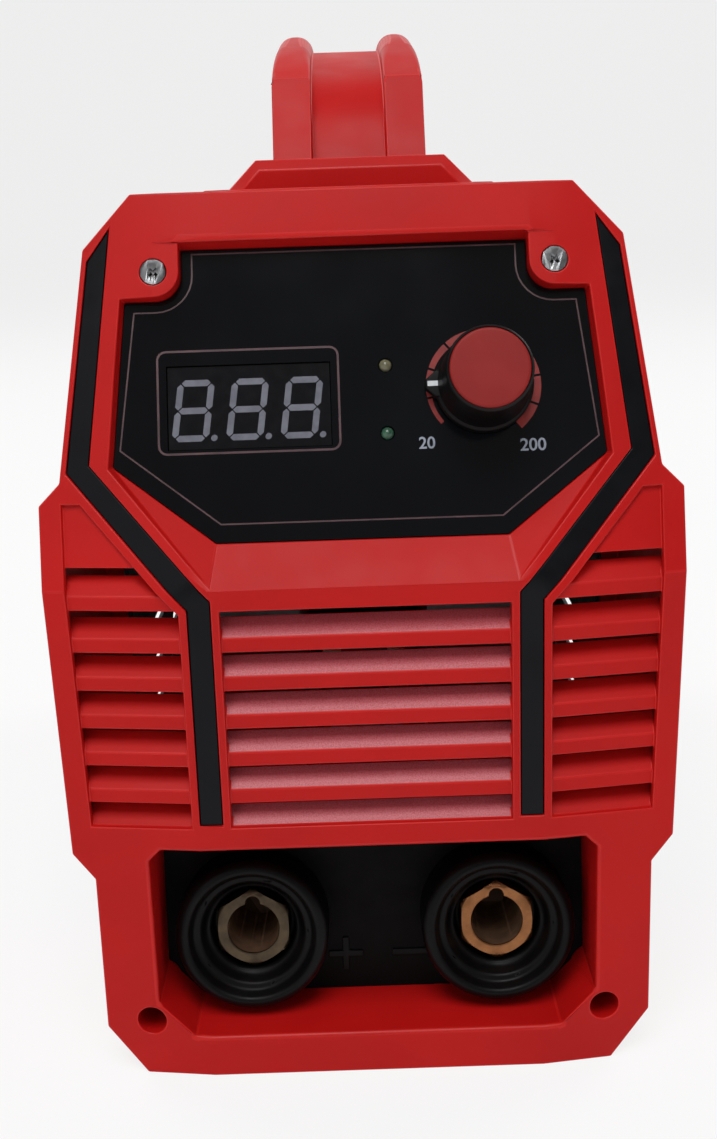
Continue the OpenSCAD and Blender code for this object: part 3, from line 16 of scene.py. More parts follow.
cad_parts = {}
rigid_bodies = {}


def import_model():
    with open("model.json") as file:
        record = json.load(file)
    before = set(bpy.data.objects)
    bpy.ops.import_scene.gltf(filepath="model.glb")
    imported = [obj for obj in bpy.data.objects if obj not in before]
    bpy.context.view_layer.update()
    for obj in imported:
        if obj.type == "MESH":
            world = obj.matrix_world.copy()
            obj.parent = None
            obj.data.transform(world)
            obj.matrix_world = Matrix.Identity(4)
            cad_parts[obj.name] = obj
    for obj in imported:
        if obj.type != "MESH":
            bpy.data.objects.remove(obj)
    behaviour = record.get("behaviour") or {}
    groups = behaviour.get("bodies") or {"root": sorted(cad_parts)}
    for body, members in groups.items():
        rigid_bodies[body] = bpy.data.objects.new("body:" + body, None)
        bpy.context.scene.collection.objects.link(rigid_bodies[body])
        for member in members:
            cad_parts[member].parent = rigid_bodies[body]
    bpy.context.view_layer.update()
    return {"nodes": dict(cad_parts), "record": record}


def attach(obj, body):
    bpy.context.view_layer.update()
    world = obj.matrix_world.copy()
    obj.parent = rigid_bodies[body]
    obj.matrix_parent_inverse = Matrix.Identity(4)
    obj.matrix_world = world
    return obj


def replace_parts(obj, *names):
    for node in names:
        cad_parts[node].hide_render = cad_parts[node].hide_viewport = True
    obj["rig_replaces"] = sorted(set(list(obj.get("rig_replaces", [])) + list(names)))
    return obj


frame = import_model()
nodes = frame["nodes"]
MM = 0.001

# %% [markdown]
# Operators act on whatever is selected, and the loaded nodes start out selected, so everything is deselected first.
# A few small helpers then keep each step on one object: one selects a single object, and one opens its mesh in edit
# mode with only the wanted points, edges or faces selected.

# %% Helpers for working on one object at a time
def only(obj):
    for other in bpy.context.selected_objects:
        other.select_set(False)
    obj.hide_set(False)
    obj.select_set(True)
    bpy.context.view_layer.objects.active = obj
    return obj


def added(name):
    obj = bpy.context.object
    obj.name = name
    return only(obj)


def pick(obj, kind, wanted):
    only(obj)
    bpy.ops.object.mode_set(mode="EDIT")
    bpy.ops.mesh.select_mode(type=kind)
    bpy.ops.mesh.select_all(action="DESELECT")
    mesh = bmesh.from_edit_mesh(obj.data)
    cells = {"VERT": mesh.verts, "EDGE": mesh.edges, "FACE": mesh.faces}[kind]
    count = 0
    for cell in cells:
        if wanted(cell):
            cell.select_set(True)
            count += 1
    mesh.select_flush_mode()
    bmesh.update_edit_mesh(obj.data)
    return count


def pick_all(obj, kind="FACE"):
    pick(obj, kind, lambda cell: True)


def leave_edit():
    bpy.ops.object.mode_set(mode="OBJECT")


for obj in bpy.context.selected_objects:
    obj.select_set(False)

# %% [markdown]
# The photograph was taken by hand from in front, looking about 15 degrees down and leaning slightly to one side.
# The camera stands where that view puts it, and its lens is worked out from the picture's height of 1139 pixels.

# %% Camera
EYE = Vector((-1.786, -467.568, 214.007)) * MM
PITCH, YAW, ROLL = 14.91075, 0.092, -1.90447
PHOTO_HEIGHT, FOCAL_PIXELS, SENSOR_MM = 1139, 1449.282, 36


def axes(right, up, out):
    return Matrix((right, up, out)).transposed().to_4x4()


def look(pitch, yaw, roll):
    p, y, r = (math.radians(a) for a in (pitch, yaw, roll))
    ahead = Vector((math.sin(y) * math.cos(p), math.cos(y) * math.cos(p), -math.sin(p)))
    right = Vector((math.cos(y), -math.sin(y), 0))
    up = right.cross(ahead)
    across = math.cos(r) * right + math.sin(r) * up
    above = -math.sin(r) * right + math.cos(r) * up
    return axes(across, above, -ahead)


bpy.ops.object.camera_add()
camera = bpy.context.object
camera.matrix_world = Matrix.Translation(EYE) @ look(PITCH, YAW, ROLL)
camera.data.sensor_fit = "AUTO"
camera.data.sensor_width = SENSOR_MM
camera.data.lens = FOCAL_PIXELS * SENSOR_MM / PHOTO_HEIGHT
camera.data.clip_start = 0.01
bpy.context.scene.camera = camera
bpy.context.scene.view_settings.view_transform = "Standard"
print("lens:", round(camera.data.lens, 2), "mm")

# %% [markdown]
# A product picture stands on a white sheet that curves up behind the object. A wide plane makes the floor, and its
# far edge is extruded up behind the welder in three steps, which smooth shading turns into one sweep.

# %% Floor and backdrop
SHEET_SIZE = 8
bpy.ops.mesh.primitive_plane_add(size=SHEET_SIZE, location=(0, 0, 0))
sheet = added("studio_sheet")
pick(sheet, "EDGE", lambda e: all(v.co.y > 0.49 * SHEET_SIZE for v in e.verts))
for rise in ((0, 0.6, 0.3), (0, 0.3, 0.6), (0, 0, 5)):
    bpy.ops.mesh.extrude_region_move(TRANSFORM_OT_translate={"value": rise})
leave_edit()
bpy.ops.object.shade_smooth()
print("sheet faces:", len(sheet.data.polygons))

# %% [markdown]
# The sheet should look white without more light falling on the welder. To the camera, to reflections and to what is
# seen through glass, four fifths of it is a plain white glow, and the fifth that stays a real surface keeps a soft
# shadow under the welder.

# %% White of the sheet
SHEET_GREY, SHEET_ROUGH, GLOW_SHARE = 0.86, 0.9, 0.8


def paint(obj, *materials):
    slots = obj.data.materials
    while len(slots) < len(materials):
        slots.append(None)
    for place, material in enumerate(materials):
        slots[place] = material


white = bpy.data.materials.new("studio_white")
white.use_nodes = True
tree = white.node_tree
paper = tree.nodes["Principled BSDF"]
paper.inputs["Base Color"].default_value = (SHEET_GREY, SHEET_GREY, SHEET_GREY, 1)
paper.inputs["Roughness"].default_value = SHEET_ROUGH
glow = tree.nodes.new("ShaderNodeEmission")
rays = tree.nodes.new("ShaderNodeLightPath")
sight = rays.outputs["Is Camera Ray"]
for other in ("Is Glossy Ray", "Is Transmission Ray"):
    either = tree.nodes.new("ShaderNodeMath")
    either.operation = "MAXIMUM"
    tree.links.new(sight, either.inputs[0])
    tree.links.new(rays.outputs[other], either.inputs[1])
    sight = either.outputs[0]
share = tree.nodes.new("ShaderNodeMath")
share.operation = "MULTIPLY"
share.inputs[1].default_value = GLOW_SHARE
blend = tree.nodes.new("ShaderNodeMixShader")
tree.links.new(sight, share.inputs[0])
tree.links.new(share.outputs[0], blend.inputs[0])
tree.links.new(paper.outputs[0], blend.inputs[1])
tree.links.new(glow.outputs[0], blend.inputs[2])
tree.links.new(blend.outputs[0], tree.nodes["Material Output"].inputs["Surface"])
paint(sheet, white)
print("nodes in the white:", len(tree.nodes))

# %% [markdown]
# The picture's light is soft and comes mostly from above, because the upper faces of the louvres shine while their
# lips are darker. One wide lamp hangs high in front, one stands on the left, and two light the sides and the back.

# %% Lamps
FRONT_AIM, REAR_AIM = (0, -0.1, 0.1), (0, 0.05, 0.1)


def softbox(name, place, aim, width, power):
    bpy.ops.object.light_add(type="AREA", location=place)
    lamp = bpy.context.object
    lamp.name = name
    lamp.data.shape = "SQUARE"
    lamp.data.size = width
    lamp.data.energy = power
    lamp.rotation_euler = (Vector(aim) - Vector(place)).to_track_quat("-Z", "Y").to_euler()


softbox("overhead_lamp", (-0.1, -0.85, 1.47), FRONT_AIM, 0.8, 13.5)
softbox("front_lamp", (-0.9, -1.6, 0.75), FRONT_AIM, 0.9, 2)
softbox("rear_left_lamp", (-1.2, 0.9, 1.1), REAR_AIM, 0.8, 10)
softbox("rear_right_lamp", (1.2, 0.8, 1.1), REAR_AIM, 0.8, 10)

# %% [markdown]
# An even, slightly warm grey world fills what the lamps leave dark, so that a colour shows about as it is written.
# Where the camera looks past the sheet, it sees a pale backdrop in place of that grey.

# %% World
WORLD_GREY, BACKDROP_GREY = (0.272, 0.265, 0.26, 1), (0.88, 0.88, 0.88, 1)
world = bpy.data.worlds.new("studio_world")
bpy.context.scene.world = world
world.use_nodes = True
sky = world.node_tree
filling = sky.nodes["Background"]
filling.inputs["Color"].default_value = WORLD_GREY
backdrop = sky.nodes.new("ShaderNodeBackground")
backdrop.inputs["Color"].default_value = BACKDROP_GREY
sky_rays = sky.nodes.new("ShaderNodeLightPath")
sky_blend = sky.nodes.new("ShaderNodeMixShader")
sky.links.new(sky_rays.outputs["Is Camera Ray"], sky_blend.inputs[0])
sky.links.new(filling.outputs[0], sky_blend.inputs[1])
sky.links.new(backdrop.outputs[0], sky_blend.inputs[2])
sky.links.new(sky_blend.outputs[0], sky.nodes["World Output"].inputs["Surface"])
print("nodes in the world:", len(sky.nodes))

# %% [markdown]
# Most of this machine is moulded plastic, sheet metal or a turned part, and all of these vary a little over their
# surface. Noise on the object's own coordinates stays put when a piece moves. A ramp turns it into two near shades,
# and a range turns it into a varying gloss. A drawn metal stretches its noise along one direction.

# %% Helpers for shades and gloss
SHADE_SPAN, GLOSS_SPAN = (0.35, 0.65), (0.3, 0.7)


def srgb(r, g, b):
    parts = [c / 255 for c in (r, g, b)]
    return tuple(c / 12.92 if c <= 0.04045 else ((c + 0.055) / 1.055) ** 2.4 for c in parts) + (1.0,)


def noise(tree, coord, scale, detail, stretch=None):
    texture = tree.nodes.new("ShaderNodeTexNoise")
    texture.inputs["Scale"].default_value = scale
    texture.inputs["Detail"].default_value = detail
    source = coord.outputs["Object"]
    if stretch:
        mapping = tree.nodes.new("ShaderNodeMapping")
        mapping.inputs["Scale"].default_value = stretch
        tree.links.new(source, mapping.inputs["Vector"])
        source = mapping.outputs["Vector"]
    tree.links.new(source, texture.inputs["Vector"])
    return texture.outputs["Fac"]


def shades(tree, value, *colours):
    ramp = tree.nodes.new("ShaderNodeValToRGB")
    for element, position, colour in zip(ramp.color_ramp.elements, SHADE_SPAN, colours):
        element.position = position
        element.color = srgb(*colour)
    tree.links.new(value, ramp.inputs["Fac"])
    return ramp.outputs["Color"]


def gloss(tree, value, low, high):
    node = tree.nodes.new("ShaderNodeMapRange")
    limits = {"From Min": GLOSS_SPAN[0], "From Max": GLOSS_SPAN[1], "To Min": low, "To Max": high}
    for name, limit in limits.items():
        node.inputs[name].default_value = limit
    tree.links.new(value, node.inputs["Value"])
    return node.outputs["Result"]


print("mid grey as light:", round(srgb(128, 128, 128)[0], 3))

# %% [markdown]
# One helper now builds a whole finish: a broad noise shifts the colour between two shades, a second one, four times
# finer, varies the gloss, and a fine one raises a grain of a few hundredths of a millimetre.

# %% A helper for finishes
made = []


def raise_grain(tree, shader, value, strength, depth):
    bump = tree.nodes.new("ShaderNodeBump")
    bump.inputs["Strength"].default_value = strength
    bump.inputs["Distance"].default_value = depth * MM
    tree.links.new(value, bump.inputs["Height"])
    tree.links.new(bump.outputs["Normal"], shader.inputs["Normal"])


def finish(
    name, deep, pale, rough, grain, strength, patch=60, metal=0.0, specular=0.5, stretch=None, depth=0.06
):
    material = bpy.data.materials.new(name)
    material.use_nodes = True
    tree = material.node_tree
    shader = tree.nodes["Principled BSDF"]
    coord = tree.nodes.new("ShaderNodeTexCoord")
    colour = shades(tree, noise(tree, coord, patch, 3.0), deep, pale)
    tree.links.new(colour, shader.inputs["Base Color"])
    shine = gloss(tree, noise(tree, coord, patch * 4, 3.0, stretch), *rough)
    tree.links.new(shine, shader.inputs["Roughness"])
    raise_grain(tree, shader, noise(tree, coord, grain, 2.0, stretch), strength, depth)
    shader.inputs["Metallic"].default_value = metal
    shader.inputs["Specular IOR Level"].default_value = specular
    made.append(material)
    return material


print("finishes so far:", len(made))

# %% [markdown]
# The shells are red plastic with a spark-eroded texture: satin, with a fine grain that catches the overhead light.
# Rounded edges are polished by the mould and by hands, so the narrow faces of each rounding take a slightly paler,
# smoother red. The slats' upper faces take a paler red with a dense speckle: a painted pinkish sheen in place of the
# light.
# The black plastics differ a little in shade and more in gloss.

# %% Plastics
red_plastic = finish(
    "red_moulded_plastic", (187, 18, 17), (197, 22, 20), (0.42, 0.52), 2200, 0.25, patch=25, specular=0.2
)
red_edge = finish(
    "red_moulded_edge", (194, 23, 21), (205, 30, 26), (0.36, 0.44), 2200, 0.1, patch=40, specular=0.28
)
# Painted sheen: a paler, pinkish red with a dense speckle stands in for the overhead light's shine on the slats' upper
# faces.
slat_painted_sheen_and_grain = finish("red_slat_painted_sheen_and_grain", (184, 68, 77), (200, 98, 108), (0.35, 0.45), 2600, 0.6, patch=3200)
trim_black = finish("trim_blue_black", (8, 9, 13), (13, 14, 19), (0.3, 0.4), 2200, 0.1, specular=0.15)
plate_black = finish("plate_black_plastic", (6, 5, 6), (9, 8, 9), (0.5, 0.6), 1800, 0.2, specular=0.1)
nylon_black = finish("nylon_black", (7, 7, 8), (11, 11, 12), (0.34, 0.46), 1400, 0.12, specular=0.13)
knob_black = finish("knob_black", (8, 8, 9), (13, 13, 14), (0.42, 0.52), 2000, 0.15, specular=0.2)
cap_red = finish(
    "knob_cap_red", (140, 32, 30), (150, 38, 35), (0.45, 0.55), 2400, 0.12, patch=80, specular=0.25
)
fan_black = finish("fan_black", (17, 17, 18), (25, 25, 27), (0.42, 0.55), 1500, 0.15, specular=0.4)
rocker_red = finish("rocker_red", (150, 14, 14), (170, 20, 18), (0.18, 0.26), 900, 0.05)
print("finishes so far:", len(made))

# %% [markdown]
# The control panel is a printed film under a gloss skin. It is nearly black, smooth, and a little uneven in its
# shine from handling. The display window behind it is dark tinted plastic, and the lamps are cloudy resin domes.

# %% Panel film, window and lenses
panel_film = finish(
    "panel_gloss_film", (7, 8, 11), (11, 13, 17), (0.1, 0.16), 60, 0.02, patch=18, specular=0.2
)
window_tint = finish(
    "display_tint", (9, 10, 13), (13, 14, 18), (0.14, 0.22), 300, 0.03, patch=90, specular=0.25
)
fault_lens = finish("fault_lens", (96, 94, 74), (128, 124, 96), (0.12, 0.2), 500, 0.05, patch=700)
power_lens = finish("power_lens", (44, 78, 62), (66, 108, 84), (0.12, 0.2), 500, 0.05, patch=700)
segment_grey = finish("segment_unlit", (96, 98, 110), (112, 114, 126), (0.35, 0.45), 1500, 0.05, patch=400)
print_line = finish("print_brown_pink", (74, 50, 55), (94, 66, 70), (0.35, 0.45), 1500, 0.04, patch=200)
print_pale = finish("print_pale_grey", (138, 146, 160), (156, 164, 178), (0.35, 0.45), 1500, 0.04, patch=200)
dial_red = finish("print_dial_red", (132, 36, 34), (150, 44, 40), (0.35, 0.45), 1500, 0.04, patch=300)
mark_white = finish("mark_white", (196, 202, 208), (218, 222, 226), (0.4, 0.5), 1500, 0.05, patch=400)
print("finishes so far:", len(made))

# %% [markdown]
# Metals need reflections to read as metal, so their grain is stretched the way the part was made: round the axis
# for turned brass, along the length for extruded aluminium, and even for zinc plating. The sheet steel cover and
# tray are powder coated, whose skin is like a fine orange peel.

# %% Metals, coating and boards
brass_dull = finish(
    "brass_dull", (70, 60, 49), (88, 75, 60), (0.28, 0.4), 900, 0.1, patch=300, metal=1.0, stretch=(1, 6, 1)
)
brass_gold = finish(
    "brass_golden", (134, 89, 58), (152, 102, 67), (0.26, 0.38), 900, 0.1,
    patch=300, metal=1.0, stretch=(1, 6, 1)
)
bore_brass = finish(
    "brass_bore", (104, 80, 62), (130, 100, 77), (0.4, 0.55), 900, 0.1, patch=300, metal=0.2
)
zinc = finish("zinc_plating", (112, 113, 116), (146, 147, 149), (0.3, 0.44), 700, 0.08, patch=250, metal=1.0)
copper = finish(
    "copper_bar", (168, 98, 62), (190, 116, 76), (0.3, 0.42), 500, 0.08,
    patch=200, metal=1.0, stretch=(6, 1, 1)
)
aluminium = finish(
    "extruded_aluminium", (170, 172, 176), (190, 192, 196), (0.32, 0.44), 600, 0.1,
    patch=120, metal=1.0, stretch=(6, 0.5, 6)
)
powder_coat = finish(
    "charcoal_powder_coat", (40, 41, 44), (47, 48, 51), (0.5, 0.6), 1500, 0.35, specular=0.4, depth=0.1
)
board_green = finish("board_laminate", (16, 62, 38), (24, 78, 48), (0.3, 0.4), 400, 0.1, patch=150)
epoxy_black = finish("component_epoxy", (22, 22, 23), (30, 30, 31), (0.5, 0.6), 2000, 0.2)
can_sleeve = finish("capacitor_sleeve", (22, 34, 78), (30, 44, 96), (0.25, 0.35), 300, 0.05, patch=90)
ferrite = finish("sintered_ferrite", (44, 44, 46), (58, 58, 60), (0.6, 0.75), 900, 0.3)
tape = finish(
    "winding_tape", (196, 158, 46), (212, 176, 60), (0.35, 0.45), 500, 0.2, patch=120, stretch=(1, 1, 9)
)
print("finishes so far:", len(made))

# %% [markdown]
# A solid's mesh is loose triangles, and it is never changed. So each piece that needs more shape is a copy, merged
# into one skin, which then stands for its node: it rides on the same body, and the node is hidden and listed as
# replaced.

# %% Helpers for copies that stand for a solid
MERGE_REACH, SLIVER = 0.002 * MM, 0.01 * MM
body_of = {n: b for b, members in frame["record"]["behaviour"]["bodies"].items() for n in members}


def copy_of(node, ending, *materials):
    piece = bpy.data.objects.new(node + ending, nodes[node].data.copy())
    bpy.context.scene.collection.objects.link(piece)
    pick_all(piece)
    bpy.ops.mesh.remove_doubles(threshold=MERGE_REACH)
    bpy.ops.mesh.dissolve_degenerate(threshold=SLIVER)
    leave_edit()
    paint(piece, *materials)
    return piece


def mount(piece, body, *materials):
    paint(piece, *materials)
    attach(piece, body)
    print(piece.name, "faces:", len(piece.data.polygons), "rides on", body)


def stand_for(piece, node):
    mount(piece, body_of[node])
    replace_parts(piece, node)


# %% [markdown]
# A moulding never has knife edges: the tool's corners leave a radius of half a millimetre or so, and it is this
# radius that catches the light along every edge in the photograph. So every edge that turns sharply is to be
# bevelled. A shallow ridge between two broad faces counts too, while the small facets of a round hole do not.

# %% Which edges are rounded
SHARP_TURN, SHALLOW_TURN = 32, 11
SHORTEST, THINNEST, BROAD, LONG = (size * MM for size in (0.001, 0.02, 1.5, 4))


def is_edge(edge):
    length = edge.calc_length()
    if len(edge.link_faces) != 2 or length < SHORTEST:
        return False
    turn = math.degrees(edge.calc_face_angle(0))
    narrowest = min(2 * f.calc_area() / length for f in edge.link_faces)
    if narrowest < THINNEST:
        return False
    return turn > SHARP_TURN or (turn > SHALLOW_TURN and narrowest > BROAD and length > LONG)


print("an edge turns more than", SHARP_TURN, "degrees")

# %% [markdown]
# The bevel keeps its full width where edges meet, and its new faces can take a second finish. Weighted normals then
# keep the broad faces flat, so that only the roundings shade smoothly. A plain moulding is a copy with every such
# edge rounded by one radius.

# %% Helpers for rounded edges
def bevel_picked(width, segments, edge_slot):
    bpy.ops.mesh.bevel(
        offset=width * MM, segments=segments, profile=0.5, affect="EDGES", clamp_overlap=False,
        loop_slide=False, miter_outer="SHARP", material=edge_slot
    )
    leave_edit()


def apply_modifier(obj, kind, **settings):
    only(obj)
    mod = obj.modifiers.new(kind.lower(), kind)
    for key, value in settings.items():
        setattr(mod, key, value)
    bpy.ops.object.modifier_apply(modifier=mod.name)


def shade(piece, angle=35):
    only(piece)
    bpy.ops.object.shade_smooth_by_angle(angle=math.radians(angle))
    apply_modifier(piece, "WEIGHTED_NORMAL", mode="FACE_AREA", weight=60, keep_sharp=True)


def round_edges(piece, width, edge_slot=0, segments=3):
    count = pick(piece, "EDGE", is_edge)
    bevel_picked(width, segments, edge_slot)
    shade(piece)
    return count


def mould(node, width, *materials):
    piece = copy_of(node, "_moulded", *materials)
    round_edges(piece, width, len(materials) - 1)
    stand_for(piece, node)
    return piece


print("edge helpers ready")

# %% [markdown]
# The control panel lies in a face that leans back by 19.9 degrees above the nose, and the sockets sit on a plate that
# leans by 7.7 degrees. All that is printed or cut there is drawn flat and then turned into place, so each of the two
# planes gets a frame of its own: across, up the slope, and out of it.

# %% Frames of the leaning face and the socket plate
FACE_LEAN, PLATE_LEAN, PANEL_SUNK = 19.9, 7.7, 5 * MM
ACROSS = Vector((1, 0, 0))
NOSE = Vector((0, -150, 125.3)) * MM
PLATE_FOOT = Vector((0, -128.5, 10.8)) * MM


def slope(degrees):
    lean = math.radians(degrees)
    return Vector((0, math.sin(lean), math.cos(lean))), Vector((0, -math.cos(lean), math.sin(lean)))


FACE_UP, FACE_OUT = slope(FACE_LEAN)
PLATE_UP, PLATE_OUT = slope(PLATE_LEAN)
PANEL = Matrix.Translation(NOSE - PANEL_SUNK * FACE_OUT) @ axes(ACROSS, FACE_UP, FACE_OUT)
PLATE = Matrix.Translation(PLATE_FOOT) @ axes(ACROSS, PLATE_UP, PLATE_OUT)
print("panel's foot in mm:", [round(c / MM, 2) for c in PANEL.translation])

# %% [markdown]
# On the front shell two mouths are visibly softer than the rest: the frame round the control panel and the recess of
# the welding sockets. Their edges are found by place, the recess's also where the flanks sweep back by 8 degrees. The
# panel frame's edge runs just outside the panel itself. Edges beside the lower screw holes leave no room for a wide
# radius and are left out.

# %% Where the front shell's mouths lie
FOLD_X, SWEEP = 41 * MM, math.tan(math.radians(8))
ON_FACE, FRAME_REACH = 0.05 * MM, 1.2 * MM
RECESS_X, RECESS_LOW, RECESS_HIGH = 54.6, 8, 62
SCREWS_HIGH, LEVEL = 19, 0.1
panel_mesh = nodes["control_panel"].data
panel_skin = BVHTree.FromPolygons(
    [v.co for v in panel_mesh.vertices], [f.vertices for f in panel_mesh.polygons]
)


def by_panel(vert):
    return panel_skin.find_nearest(vert.co - PANEL_SUNK * FACE_OUT)[3] < FRAME_REACH


def on_frame_mouth(edge):
    flat = all(abs((v.co - NOSE).dot(FACE_OUT)) < ON_FACE for v in edge.verts)
    return flat and is_edge(edge) and all(by_panel(v) for v in edge.verts)


def behind_front(vert):
    return vert.co.y - NOSE.y - max(0, abs(vert.co.x) - FOLD_X) * SWEEP


def on_recess_mouth(edge):
    flat = all(abs(behind_front(v)) < ON_FACE for v in edge.verts)
    low, high = sorted(v.co.z / MM for v in edge.verts)
    by_screw = low < SCREWS_HIGH and high - low > LEVEL
    inside = RECESS_LOW < low and high < RECESS_HIGH and all(abs(v.co.x) / MM < RECESS_X for v in edge.verts)
    return flat and inside and not by_screw and is_edge(edge)


print("panel faces searched:", len(panel_mesh.polygons))

# %% [markdown]
# The trim grooves run three hundredths of a millimetre beside the flanks' fold, and a sliver that thin can't be
# rounded, so their points are drawn onto the fold first. The slats' upper faces get the paler finish with the painted
# sheen, the two mouths are rounded widely, and then all other edges are.

# %% Front shell
GROOVE_X = 40.9 * MM
SLAT_X, SLAT_LOW, SLAT_HIGH, SLAT_Y = 34.5, 66, 126, -130
FACES_UP, FACES_FRONT = 0.35, -0.2
FRAME_ROUND, RECESS_ROUND, SHELL_ROUND = 1.3, 1.0, 0.35
EDGE_SLOT, SLAT_SLOT = 1, 2
shell = copy_of("front_bezel", "_moulded", red_plastic, red_edge, slat_painted_sheen_and_grain)
drawn = sheen_painted = 0
for vert in shell.data.vertices:
    if GROOVE_X < abs(vert.co.x) < FOLD_X - SHORTEST:
        vert.co.x = math.copysign(FOLD_X, vert.co.x)
        drawn += 1
pick_all(shell)
bpy.ops.mesh.dissolve_degenerate(threshold=SLIVER)
leave_edit()
# Slat faces that face up and out take the slot of the painted sheen.
for face in shell.data.polygons:
    x, y, z = (c / MM for c in face.center)
    on_slats = abs(x) < SLAT_X and SLAT_LOW < z < SLAT_HIGH and y < SLAT_Y
    if on_slats and face.normal.z > FACES_UP and face.normal.y < FACES_FRONT:
        face.material_index = SLAT_SLOT
        sheen_painted += 1
print("groove points drawn onto the fold:", drawn, "grained slat faces:", sheen_painted)
for mouth, radius in ((on_frame_mouth, FRAME_ROUND), (on_recess_mouth, RECESS_ROUND)):
    print("mouth edges:", pick(shell, "EDGE", mouth))
    bevel_picked(radius, 4, EDGE_SLOT)
print("other edges:", round_edges(shell, SHELL_ROUND, EDGE_SLOT))
stand_for(shell, "front_bezel")

# %% [markdown]
# The rear shell and the two trim strips have no soft mouths, so one radius does for each of them.

# %% Rear shell and trim strips
mould("rear_bezel", 0.5, red_plastic, red_edge)
for trim in ("left_trim_strip", "right_trim_strip"):
    mould(trim, 0.3, trim_black)

# %% [markdown]
# The handle is one long moulding: two rails with a sunk web between them. In the picture the web runs over the corner
# between leg and grip in one soft bend, which needs more points than the solid has there. So the web's triangles are
# joined into strips, and rows are added along its legs.

# %% Rows on the handle's web
WEB_FOOT, WEB_CORNER, WEB_LOW = Vector((83.5, 220.2)), Vector((73.84, 236.53)), 219
RAIL_INNER, RAIL_OUTER, TOUCH = 9.45, 19.25, 0.05
handle = copy_of("handle", "_moulded", red_plastic, red_edge)


def near(vert, point, reach=0.2):
    return abs(abs(vert.co.y) / MM - point.x) < reach and abs(vert.co.z / MM - point.y) < reach


def lengthwise(edge):
    return abs(edge.verts[0].co.x - edge.verts[1].co.x) < SLIVER


def on_web_leg(edge):
    ends = [any(near(v, point) for v in edge.verts) for point in (WEB_FOOT, WEB_CORNER)]
    return all(ends) and lengthwise(edge)


def on_web(face):
    return all(abs(v.co.x) / MM < RAIL_INNER + TOUCH and v.co.z / MM > WEB_LOW for v in face.verts)


pick(handle, "FACE", on_web)
bpy.ops.mesh.tris_convert_to_quads(face_threshold=math.radians(2), shape_threshold=math.radians(180))
leave_edit()
legs = pick(handle, "EDGE", on_web_leg)
bpy.ops.mesh.subdivide(number_cuts=7)
leave_edit()
print("web leg edges:", legs)

# %% [markdown]
# The web's points near the corner are now laid on a curve that leaves the leg and meets the grip without a kink: one
# bend through a low point, pulled towards the old corner, to a high point on the grip.

# %% The handle's soft web
GRIP_CENTRE_Z, GRIP_RADIUS, WEB_RADIUS = 70.33, 186.37, 181.87
BEND_LOW, BEND_HIGH = Vector((79.0, 227.8)), Vector((59.7, 242.12))
LEG_SLOPE = (WEB_FOOT.x - WEB_CORNER.x) / (WEB_CORNER.y - WEB_FOOT.y)
bent = 0
for vert in handle.data.vertices:
    y, z = abs(vert.co.y) / MM, vert.co.z / MM
    on_arc = abs(math.hypot(y, z - GRIP_CENTRE_Z) - WEB_RADIUS) < TOUCH and y > BEND_HIGH.x + 0.1
    on_line = abs(y - (WEB_FOOT.x - (z - WEB_FOOT.y) * LEG_SLOPE)) < TOUCH
    on_leg = on_line and BEND_LOW.y < z < WEB_CORNER.y + 0.1
    if abs(abs(vert.co.x) / MM - RAIL_INNER) > TOUCH or not (on_arc or on_leg):
        continue
    if on_leg:
        run = 0.5 * (z - BEND_LOW.y) / (WEB_CORNER.y - BEND_LOW.y)
    else:
        run = 0.5 + 0.5 * (WEB_CORNER.x - y) / (WEB_CORNER.x - BEND_HIGH.x)
    bend = BEND_LOW * (1 - run) ** 2 + WEB_CORNER * 2 * run * (1 - run) + BEND_HIGH * run ** 2
    vert.co.y, vert.co.z = math.copysign(bend.x, vert.co.y) * MM, bend.y * MM
    bent += 1
print("points on the bend:", bent)

# %% [markdown]
# The rails are round on top of the grip and end in a crisp crease where the legs turn down. So the long grip edges get
# a wide bevel, which is then drawn back towards the old edge as it nears the crease.

# %% The handle's round rails
RAIL_ROUND, GRIP_END_Y, FADE_SHARE, CREASE_SHARE = 4.3, 76.0, 0.6, 0.12


def on_grip(edge):
    at_top = all(
        abs(math.hypot(v.co.y / MM, v.co.z / MM - GRIP_CENTRE_Z) - GRIP_RADIUS) < 0.3
        and abs(v.co.x) / MM > RAIL_INNER - 0.45
        for v in edge.verts
    )
    return at_top and lengthwise(edge)


grip_edges = pick(handle, "EDGE", on_grip)
bevel_picked(RAIL_ROUND, 7, 0)
for vert in handle.data.vertices:
    x, y, z = (c / MM for c in vert.co)
    depth = GRIP_RADIUS - math.hypot(y, z - GRIP_CENTRE_Z)
    edge_x = min((RAIL_INNER, RAIL_OUTER), key=lambda e: abs(abs(x) - e))
    inset = abs(abs(x) - edge_x)
    if not vert.select or max(depth, inset) > RAIL_ROUND + 0.1:
        continue
    run = min(max((GRIP_END_Y - abs(y)) / (FADE_SHARE * GRIP_END_Y), 0), 1)
    keep = CREASE_SHARE + (1 - CREASE_SHARE) * run * run * (3 - 2 * run)
    turn = math.atan2(z - GRIP_CENTRE_Z, y)
    radius = GRIP_RADIUS - keep * depth
    side = math.copysign(edge_x + keep * (abs(x) - edge_x), x)
    vert.co = Vector((side, radius * math.cos(turn), GRIP_CENTRE_Z + radius * math.sin(turn))) * MM
round_edges(handle, 0.4, EDGE_SLOT)
stand_for(handle, "handle")
print("long grip edges rounded:", grip_edges)

# %% [markdown]
# The knob is a black moulding with a skirt and a pointer, and a red disc is pressed into its top. In the picture it
# narrows a little towards the top, so its points above the skirt are drawn in towards the axis.

# %% Knob and its cap
KNOB_X, KNOB_S = 29.4, 46.7
KNOB_TOP, SKIRT_TOP, TOP_SHARE = 19.0, 5.0, 0.945
knob_foot = PANEL @ (Vector((KNOB_X, KNOB_S, 0)) * MM)


